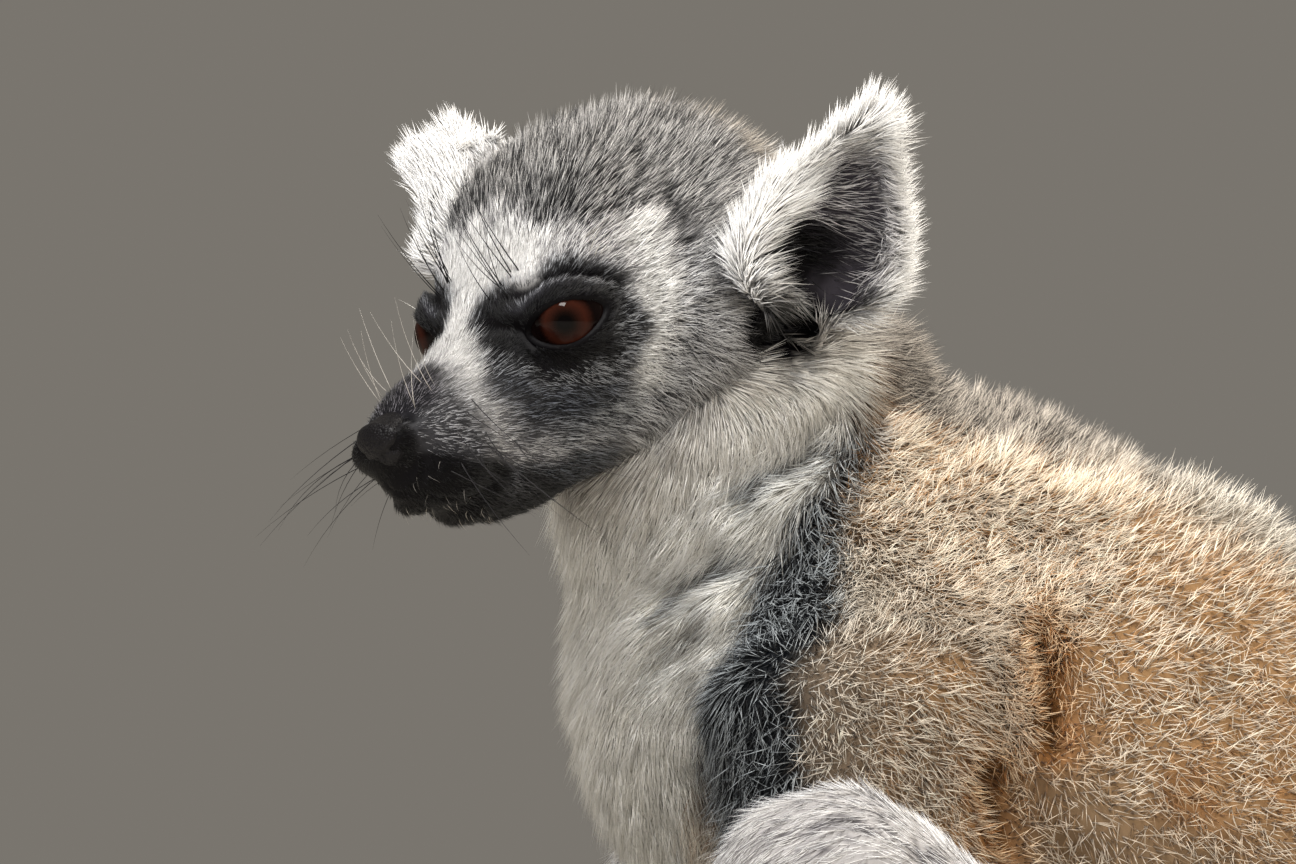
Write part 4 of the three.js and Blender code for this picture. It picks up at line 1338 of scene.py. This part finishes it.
# ---- The skin's unwrap: strips side by side, each part's round and along ----
def unwrap():
    """The head by its longitude and latitude about its middle, each other part by the turn round it and the
    way along it, in a strip of its own where a coat piece holds several parts."""
    made = np.zeros((len(SKIN), 2))
    q = HEAD_POINTS - (0, 12, 0)
    longitude = np.arctan2(q[:, 0], -q[:, 1]) / (2 * math.pi) + 0.5
    latitude = np.arcsin(np.clip(q[:, 2] / np.linalg.norm(q, axis=1), -1, 1)) / math.pi + 0.5
    turn = ROUND / (2 * math.pi) + 0.5
    strips = {  # how many strips the unwrap has that a kind is on, and the kind's first one
        "body": (1, 0), "tail": (1, 0), "upper_arm": (4, 0), "forearm": (4, 2), "thigh": (4, 0),
        "shank": (4, 2), "hand": (24, 0), "foot": (26, 12),
    }
    for name, (strip_count, first) in strips.items():
        rows = [k for k in range(len(NAMES)) if KINDS[k] == name]
        for place, k in enumerate(rows):
            mine = OWNER == k
            made[mine, 0] = (turn[mine] * 0.98 + first + place) / strip_count
            made[mine, 1] = ALONG[mine] * 0.9 + 0.05
    made[owned("head")] = np.column_stack([longitude, latitude])[owned("head")]
    for place, name in enumerate(("ear_left", "ear_right")):
        mine = OWNER == NAMES.index(name)
        half = np.where(IN_EAR[mine], 0.0, 0.5)
        made[mine, 0] = ((ROUND[mine] + 1) / 2 * 0.48 + half) / 2 * 0.98 + place * 0.5
        made[mine, 1] = ALONG[mine] * 0.96
    return made


UNWRAP = unwrap()


# ---- Materials ----
def colour_of(code):
    """A hex colour with full alpha, for a socket."""
    return (*linear(code), 1)


def add(tree, kind_of_node, inputs=None, **settings):
    """Adds a node. settings are its own properties. inputs gives each socket a constant or the socket that
    feeds it."""
    node = tree.nodes.new(kind_of_node)
    for name, value in settings.items():
        setattr(node, name, value)
    for name, value in (inputs or {}).items():
        if isinstance(value, bpy.types.NodeSocket):
            tree.links.new(value, node.inputs[name])
        else:
            node.inputs[name].default_value = value
    return node


def blank(name):
    """An empty node material with its output, and the tree."""
    material = bpy.data.materials.new(name)
    material.use_nodes = True
    tree = material.node_tree
    tree.nodes.clear()
    return material, tree


def finish_surface(tree, inputs):
    """The Principled shader and the output."""
    shader = add(tree, "ShaderNodeBsdfPrincipled", inputs)
    add(tree, "ShaderNodeOutputMaterial", {"Surface": shader.outputs["BSDF"]})


def fur_material():
    """Mammal hair, keratin as grown: matt along its length with a faint silky sheen. Its colour is each
    tuft's own, a little uneven from lock to lock."""
    material, tree = blank("lemur fur")
    colour = add(tree, "ShaderNodeAttribute", attribute_name="coat")
    place = add(tree, "ShaderNodeTexCoord")
    uneven = add(tree, "ShaderNodeTexNoise",
                 {"Vector": place.outputs["Object"], "Scale": 1 / (6 * MM), "Detail": 2.0})
    gain = add(tree, "ShaderNodeMapRange", {"Value": uneven.outputs["Fac"], "From Min": 0.3, "From Max": 0.7,
                                            "To Min": 0.88, "To Max": 1.10})
    tint = add(tree, "ShaderNodeVectorMath", {0: colour.outputs["Color"], "Scale": gain.outputs["Result"]},
               operation="SCALE")
    finish_surface(tree, {"Base Color": tint.outputs["Vector"], "Roughness": 0.62, "IOR": 1.5,
                          "Specular IOR Level": 0.22, "Sheen Weight": 0.05, "Sheen Roughness": 0.4})
    return material


def skin_material():
    """Living skin under fur: matt, finely pored, in the coat's own markings, darkened as painted shade under
    the coat.
    """
    material, tree = blank("lemur skin")
    colour = add(tree, "ShaderNodeAttribute", attribute_name="coat")
    place = add(tree, "ShaderNodeTexCoord")
    pores = add(tree, "ShaderNodeTexVoronoi", {"Vector": place.outputs["Object"], "Scale": 1 / (0.6 * MM)})
    bump = add(tree, "ShaderNodeBump",
               {"Height": pores.outputs["Distance"], "Strength": 0.35, "Distance": 0.12 * MM})
    finish_surface(tree, {"Base Color": colour.outputs["Color"], "Roughness": 0.55, "IOR": 1.42,
                          "Specular IOR Level": 0.14, "Normal": bump.outputs["Normal"]})
    return material


FUR = fur_material()
# The skin is the roots' colour darkened, with a little of the dark hairs' colour: painted shade under the
# coat
colour_points(skin, tone[:, ROOT_TONE] * 0.8 + tone[:, DARK_TONE] * 0.1)
skin.data.materials.clear()
skin.data.materials.append(skin_material())


# ---- Eyes ----
CORNEA_ANGLE = 40  # degrees from the gaze to the edge of the cornea
CORNEA_RISE = 0.9
IRIS_BANDS = (  # degrees from the gaze, and the colour there: pupil, iris, its dark edge, and under the lids
    (0, "#050304"),
    (10, "#030202"),
    (15, "#0f0604"),
    (21, "#1f0d08"),
    (28, "#2a120b"),
    (34, "#200d08"),
    (38.5, "#110604"),
    (42, "#070303"),
    (90, "#160e0c"),
)


def iris_material():
    """A living eye, wet and clear: an orange-brown iris of fine spokes that darkens to its edge, a black
    pupil, and the gloss of tears over all of it."""
    material, tree = blank("wet eye")
    polar = add(tree, "ShaderNodeAttribute", attribute_name="polar")
    parts = add(tree, "ShaderNodeSeparateXYZ", {"Vector": polar.outputs["Vector"]})
    stretched = add(tree, "ShaderNodeVectorMath", {0: polar.outputs["Vector"], 1: (9, 9, 0.05)},
                    operation="MULTIPLY")
    spokes = add(tree, "ShaderNodeTexNoise",
                 {"Vector": stretched.outputs["Vector"], "Scale": 1.6, "Detail": 5.0})
    ragged = add(tree, "ShaderNodeMath", {0: spokes.outputs["Fac"], 1: 5.0, 2: parts.outputs["Z"]},
                 operation="MULTIPLY_ADD")
    bands = add(tree, "ShaderNodeValToRGB")
    stops = bands.color_ramp.elements
    stops[0].color = colour_of(IRIS_BANDS[0][1])
    stops[1].color = colour_of(IRIS_BANDS[-1][1])
    for degrees, code in IRIS_BANDS[1:-1]:
        stops.new(degrees / 90).color = colour_of(code)
    scaled = add(tree, "ShaderNodeMath", {0: ragged.outputs["Value"], 1: 1 / 90}, operation="MULTIPLY")
    tree.links.new(scaled.outputs["Value"], bands.inputs["Fac"])
    finish_surface(tree, {"Base Color": bands.outputs["Color"], "Roughness": 0.3, "IOR": 1.38,
                          "Specular IOR Level": 0.0, "Coat Weight": 0.35, "Coat Roughness": 0.02,
                          "Coat IOR": 1.38})
    return material


def eyeball(name, side, material):
    """A ball with a cornea: the radius rises by CORNEA_RISE times the power 1.5 of one less the square of
    the angle from the gaze over the cornea's own. The attribute polar keeps the turn round the gaze, as its
    cosine and sine, and that angle in degrees."""
    rings, sides = 72, 96
    tilt = np.linspace(0.01, math.pi - 0.01, rings)[:, None]
    turn = even_angles(sides)[None]
    swell = np.clip(1 - (np.degrees(tilt) / CORNEA_ANGLE) ** 2, 0, 1) ** 1.5
    radius = (EYE_RADIUS + CORNEA_RISE * swell)[..., None]
    look, out, up = gaze_axes(side)
    round_it = np.cos(turn)[..., None] * out * side + np.sin(turn)[..., None] * up
    away = np.cos(tilt)[..., None] * look + np.sin(tilt)[..., None] * round_it
    points = mirrored(EYE_AT, side) + radius * away
    vertices, faces = ringed_mesh(points)
    made = new_object(name, from_head(vertices), faces)
    polar = np.stack(np.broadcast_arrays(np.cos(turn), np.sin(turn), np.degrees(tilt)), -1).reshape(-1, 3)
    polar = np.vstack([polar, (0, 0, 0), (0, 0, 180)])
    attribute = made.data.attributes.new("polar", "FLOAT_VECTOR", "POINT")
    attribute.data.foreach_set("vector", polar.astype(np.float32).ravel())
    made.data.materials.append(material)
    return made


# ---- Nose ----
NOSE = shape([(0, -36.2, -14), (0, -32, -13.4), (0, -28, -12.6)],
             [(5.8, 4.5, 4.6, 0), (6.8, 5.0, 5.0, 0), (6.6, 4.6, 4.6, 0)], caps=(0.62, 0.4), along=(0, 1, 0))
NOSTRIL = [(2.7, -38, -15.2), (4.5, -37, -14.4), (6.0, -34.6, -12.6), (6.5, -33, -10.8)]


def nose_swell(p):
    """The nose pad's surface: a comma-shaped nostril at each side, a groove down the middle, and a raised
    wing over the nostril."""
    folded = on_left(p)
    far = near_line(folded, NOSTRIL)
    wing = 0.5 * bell(np.linalg.norm(folded - (4.6, -36.5, -11), axis=-1), 2.2)
    groove = 0.5 * bell(folded[..., 0], 0.5) * smooth(-11, -14, p[..., 2])
    return wing - 2.2 * bell(far, 0.9) - 1.8 * line_bell(folded, SLIT, 0.8) - groove


def nose_material():
    """Bare nose leather, moist: nearly black, pebbled every half millimetre or so, with a soft sheen."""
    material, tree = blank("nose leather")
    place = add(tree, "ShaderNodeTexCoord")
    pebbles = add(tree, "ShaderNodeTexVoronoi", {"Vector": place.outputs["Object"], "Scale": 1 / (0.55 * MM)})
    bump = add(tree, "ShaderNodeBump",
               {"Height": pebbles.outputs["Distance"], "Strength": 0.9, "Distance": 0.25 * MM}, invert=True)
    tint = add(tree, "ShaderNodeMix",
               {"Factor": pebbles.outputs["Distance"], "A": colour_of("#0e0c0f"), "B": colour_of("#060507")},
               data_type="RGBA")
    finish_surface(tree, {"Base Color": tint.outputs["Result"], "Roughness": 0.48, "IOR": 1.42,
                          "Specular IOR Level": 0.24, "Coat Weight": 0.12, "Coat Roughness": 0.3,
                          "Normal": bump.outputs["Normal"]})
    return material


nose_points = swept(NOSE, np.linspace(0, 1, 60), even_angles(120), 30, nose_swell)
nose_vertices, nose_faces = ringed_mesh(nose_points)
nose = new_object("nose_pad", from_head(nose_vertices), nose_faces)
nose.data.materials.append(nose_material())

wet_eye = iris_material()
eyes = {name: eyeball(f"{name}_ball", side, wet_eye) for name, side in (("eye_left", 1), ("eye_right", -1))}


# ---- The coat, piece by piece ----
FACE_LINE = 14  # millimetres behind the eyes, where the face's coat piece ends
first_corner = SKIN_FACES[:, 0]
head_faces = owned("head")[first_corner]
face_faces = head_faces & (HEAD_POINTS[first_corner, 1] < FACE_LINE)
body_faces = owned("body")[first_corner]
body_along = places["body"]["along"][first_corner]
breast_faces = body_faces & (body_along > 0.60) & (behind_chest(SKIN)[first_corner] < 4)
shoulder_faces = body_faces & (body_along > 0.64) & ~breast_faces
upper_faces = np.sin(places["body"]["round"])[first_corner] > -0.1
back_faces = body_faces & ~breast_faces & ~shoulder_faces & upper_faces
belly_faces = body_faces & ~breast_faces & ~shoulder_faces & ~upper_faces
COATS = (  # name, triangles, tufts, bent, a clump's pull and its size in mm, and the slot
    ("coat_face", face_faces, 49000, False, 0.2, 1.4, "grey_fur"),
    ("coat_crown", head_faces & ~face_faces, 49500, False, 0.25, 2.0, "grey_fur"),
    ("coat_ears", owned("ear")[first_corner], 22000, True, 0.35, 2.2, "white_fur"),
    ("coat_breast", breast_faces, 44000, False, 0.3, 3.0, "white_fur"),
    ("coat_shoulders", shoulder_faces, 49500, False, 0.7, 2.3, "buff_fur"),
    ("coat_back", back_faces, 39000, False, 0.65, 2.8, "buff_fur"),
    ("coat_belly", belly_faces, 11000, False, 0.45, 4.2, "white_fur"),
    ("coat_arms", owned("upper_arm", "forearm")[first_corner], 37500, False, 0.65, 2.3, "grey_fur"),
    ("coat_legs", owned("thigh", "shank")[first_corner], 31500, False, 0.4, 3.0, "pale_fur"),
    ("coat_paws", owned("hand", "foot")[first_corner], 12000, False, 0.3, 2.0, "pale_fur"),
    ("coat_tail", owned("tail")[first_corner], 14000, True, 0.5, 4.5, "black_fur"),
)
for seed, (name, chosen, count, bent, clump, cell, slot) in enumerate(COATS):
    piece = coat_piece(name, chosen, count, bent, clump, cell, 100 + seed, FUR)
    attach(piece, "root")


# ---- Whiskers and bristles ----
WHISKER_RINGS = 8


def joined_tubes(name, root, way, length, width, bend, colours, seed):
    """Thin tapering three-sided tubes, joined in one mesh. A hair's line is its root, plus its way times the
    length times s, plus its bend times s squared. Its half-width shrinks evenly to a tenth at its tip."""
    rng = np.random.default_rng(seed)
    count = len(root)
    s = np.linspace(0, 1, WHISKER_RINGS)[None, :, None]
    line = root[:, None] + way[:, None] * length[:, None, None] * s + bend[:, None] * s**2
    ahead = unit(np.gradient(line, axis=1))
    side = unit(np.cross(ahead, rng.normal(size=(count, 1, 3))))
    over = np.cross(ahead, side)
    turn = even_angles(3)
    half = (width[:, None] / 2 * (1 - 0.9 * s[..., 0]))[..., None, None]
    circle = np.cos(turn)[:, None] * side[:, :, None] + np.sin(turn)[:, None] * over[:, :, None]
    points = (line[:, :, None] + circle * half).reshape(count, -1, 3)
    ring, corner = np.meshgrid(np.arange(WHISKER_RINGS - 1), np.arange(3), indexing="ij")
    ring, corner = ring.ravel() * 3, corner.ravel()
    after = (corner + 1) % 3
    quads = np.stack([ring + corner, ring + after, ring + 3 + after, ring + 3 + corner], -1)
    each = WHISKER_RINGS * 3
    ends = [(2, 1, 0), (each - 3, each - 2, each - 1)]
    sides = np.concatenate([quads[:, [0, 1, 2]], quads[:, [0, 2, 3]], ends])
    faces = (sides[None] + (np.arange(count) * each)[:, None, None]).reshape(-1, 3)
    made = new_object(name, points.reshape(-1, 3), faces.tolist())
    colour_points(made, np.repeat(colours, each, axis=0))
    made.data.materials.append(FUR)
    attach(made, "root")
    return made


WHISKERS = (  # place and its spread, way and its stray, bend, length, width, colour, how many a side
    ((8.8, -5.5, 9.3), (1.0, 3.0, 1.6), (-0.1, -0.42, 0.9), 0.16, (0, 3, 0), 22, 0.3, "#0c0b0e", 9),
    ((22, 3, 12), (2, 2.5, 2), (0.6, -0.1, 0.75), 0.2, (2, 2, -1), 10, 0.13, "#e6e2da", 7),
    ((10.5, -24, -17), (1.5, 5, 3.2), (0.8, -0.3, -0.25), 0.22, (2, 6, -5), 26, 0.24, "#1b191c", 14),
    ((5, -27, -8), (1.5, 2.5, 1), (0.1, -0.45, 0.85), 0.16, (0, 3, 2), 16, 0.14, "#c4bfb8", 5),
    ((7, -30, -22.5), (3.5, 4, 1.5), (0.35, -0.25, -0.9), 0.3, (0.3, 0.5, -0.3), 2.4, 0.09, "#8d8983", 8),
    ((4, -24, -31), (3.5, 6.5, 1.0), (0.1, -0.35, -0.9), 0.35, (0, 1, 0), 2.5, 0.09, "#a8a296", 20),
    ((22, 3, -21), (1.6, 1.6, 1.6), (0.7, -0.25, -0.3), 0.2, (2, 5, -5), 17, 0.12, "#1b191c", 4),
)


def whiskers():
    """The brow's long black hairs, the pale ones beside it, the whiskers of lip, bridge and cheek, and the
    short bristles of lip and chin, rooted at the skin's nearest points, as many on either side."""
    rng = np.random.default_rng(7)
    rows = []
    for place, spread, way, stray, bend, length, width, code, count in WHISKERS:
        for side in (1, -1):
            near = mirrored(place, side) + rng.normal(size=(count, 3)) * spread
            gap = np.linalg.norm(near[:, None] - HEAD_POINTS[None], axis=2)
            root = HEAD_POINTS[gap.argmin(1)]
            ways = unit(mirrored(way, side) + rng.normal(size=(count, 3)) * stray)
            bends = np.broadcast_to(mirrored(bend, side), root.shape) * rng.uniform(0.5, 1.3, (count, 1))
            shade = linear(code) * rng.uniform(0.8, 1.15, (count, 1))
            lengths = length * rng.uniform(0.6, 1.1, count)
            widths = width * rng.uniform(0.8, 1.1, count)
            rows.append((root, ways, bends, shade, lengths, widths))
    root, way, bend, shade, lengths, widths = (np.concatenate(column) for column in zip(*rows))
    way, bend = way @ HEAD_TURNS.T, bend @ HEAD_TURNS.T
    joined_tubes("whiskers", from_head(root), way, lengths, widths, bend, shade, 8)


whiskers()


# ---- Nails ----
def nail_material():
    """Nail keratin, as grown: dark, half glossy, with uneven paler streaks and shallow ridges."""
    material, tree = blank("dark keratin nail")
    place = add(tree, "ShaderNodeTexCoord")
    streaks = add(tree, "ShaderNodeTexNoise",
                  {"Vector": place.outputs["Object"], "Scale": 1 / (1.2 * MM), "Detail": 3.0})
    tint = add(tree, "ShaderNodeMix",
               {"Factor": streaks.outputs["Fac"], "A": colour_of("#1d191a"), "B": colour_of("#4a4240")},
               data_type="RGBA")
    bump = add(tree, "ShaderNodeBump",
               {"Height": streaks.outputs["Fac"], "Strength": 0.3, "Distance": 0.15 * MM})
    finish_surface(tree, {"Base Color": tint.outputs["Result"], "Roughness": 0.32, "IOR": 1.54,
                          "Normal": bump.outputs["Normal"]})
    return material


# A nail's line, as places ahead of the digit's end and above it, and its half-width, all in the end's radii
NAIL = (((-0.7, 0.62), (0.3, 0.62), (0.95, 0.25)), 0.62)
CLAW = (((-0.7, 0.62), (0.3, 0.62), (1.9, 1.5)), 0.35)
NAIL_THICK = (0.22, 0.24, 0.12)  # half of its thickness along that line, in the same radii
NAIL_TIP_WIDE = 0.55  # how wide it is at its tip, as a share


def nails():
    """A curved plate on each finger and toe: a flattened swept shape over the tip, from the last joint to
    just past the end. The second toe has the long upright grooming claw instead."""
    plates = []
    for side in (1, -1):
        for claw, digits in ((None, hand(side)[1:]), (1, foot(side)[2:])):
            for place, spec in enumerate(digits):
                end, radius = spec["at"][-1], spec["size"][-1][0]
                ahead = unit(end - spec["at"][1]) * (1, 1, 0.4)
                over = np.array((0, 0, 1.0))
                stations, half_width = CLAW if place == claw else NAIL
                line = [end + ahead * radius * far + over * radius * high for far, high in stations]
                wide = radius * half_width
                thick = [radius * share for share in NAIL_THICK]
                plate = limb(line, list(zip((wide, wide, wide * NAIL_TIP_WIDE), thick)), (0, 0, 0))
                plates.append(simple_shell(plate, rings=7, sides=12, cap_rings=3))
    made = joined_object("nails", plates)
    made.data.materials.append(nail_material())
    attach(made, "root")
    return made


nails()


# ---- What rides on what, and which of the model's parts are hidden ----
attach(skin, "root")
flesh = [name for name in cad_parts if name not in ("eye_left", "eye_right", "nose")]
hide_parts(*flesh)
for name, ball in eyes.items():
    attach(ball, "root")
    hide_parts(name)
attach(nose, "root")
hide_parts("nose")


# ---- Studio ----
CAMERA_TARGET = Vector((28.4, -138.2, 221.3)) * MM
CAMERA_AZIMUTH = 80
CAMERA_FAR = 2.0  # metres
PICTURE_WIDE = 1296  # pixels
PIXELS_PER_MM = 5.5  # at the camera's target
FRAME_WIDTH = PICTURE_WIDE / PIXELS_PER_MM * MM
FLOOR_RADIUS = 3000
FLOOR_SIDES = 96


def floor():
    """A pale round floor, flat paint on board."""
    turn = even_angles(FLOOR_SIDES)
    rim = np.column_stack([np.cos(turn), np.sin(turn), np.zeros(FLOOR_SIDES)]) * FLOOR_RADIUS
    made = new_object("floor", rim, [list(range(FLOOR_SIDES))], smooth_faces=False)
    material, tree = blank("pale matt paint")
    place = add(tree, "ShaderNodeTexCoord")
    grain = add(tree, "ShaderNodeTexNoise", {"Vector": place.outputs["Object"], "Scale": 1 / (40 * MM)})
    tint = add(tree, "ShaderNodeMix",
               {"Factor": grain.outputs["Fac"], "A": colour_of("#a5a199"), "B": colour_of("#aeaaa2")},
               data_type="RGBA")
    finish_surface(tree, {"Base Color": tint.outputs["Result"], "Roughness": 0.8})
    made.data.materials.append(material)


def lamp(name, azimuth, elevation, far, size, power, tint, mirrored_in_eyes=True):
    """A square soft light that faces the camera's target, placed by its azimuth and elevation from there.
    One that isn't mirrored in the eyes shows in no gloss at all."""
    data = bpy.data.lights.new(name, "AREA")
    data.shape = "SQUARE"
    data.size = size
    data.energy = power
    data.color = linear(tint)
    made = bpy.data.objects.new(name, data)
    a, e = math.radians(azimuth), math.radians(elevation)
    way = Vector((math.sin(a) * math.cos(e), -math.cos(a) * math.cos(e), math.sin(e)))
    made.location = CAMERA_TARGET + way * far
    made.rotation_euler = way.to_track_quat("Z", "Y").to_euler()
    made.visible_glossy = mirrored_in_eyes
    bpy.context.scene.collection.objects.link(made)


def studio():
    """The floor, the lights, a plain surround and the camera."""
    floor()
    lamp("key", 48, 56, 1.5, 0.5, 25, "#fffdfa")
    lamp("front", 38, 8, 1.8, 1.4, 22, "#fbfbff", mirrored_in_eyes=False)
    lamp("fill", 112, 26, 1.8, 1.0, 29, "#fffaf2", mirrored_in_eyes=False)
    lamp("rim", 210, 52, 1.6, 0.6, 32, "#fff6ea")
    world = bpy.data.worlds.new("studio")
    world.use_nodes = True
    world.node_tree.nodes["Background"].inputs["Color"].default_value = colour_of("#8f8a82")
    world.node_tree.nodes["Background"].inputs["Strength"].default_value = 0.7
    bpy.context.scene.world = world
    data = bpy.data.cameras.new("camera")
    data.sensor_width = 36
    data.lens = data.sensor_width * CAMERA_FAR / FRAME_WIDTH
    camera = bpy.data.objects.new("camera", data)
    a = math.radians(CAMERA_AZIMUTH)
    back = Vector((math.sin(a), -math.cos(a), 0))
    camera.location = CAMERA_TARGET + back * CAMERA_FAR
    camera.rotation_euler = back.to_track_quat("Z", "Y").to_euler()
    bpy.context.scene.collection.objects.link(camera)
    bpy.context.scene.camera = camera


studio()
bpy.context.scene.view_settings.view_transform = "Standard"
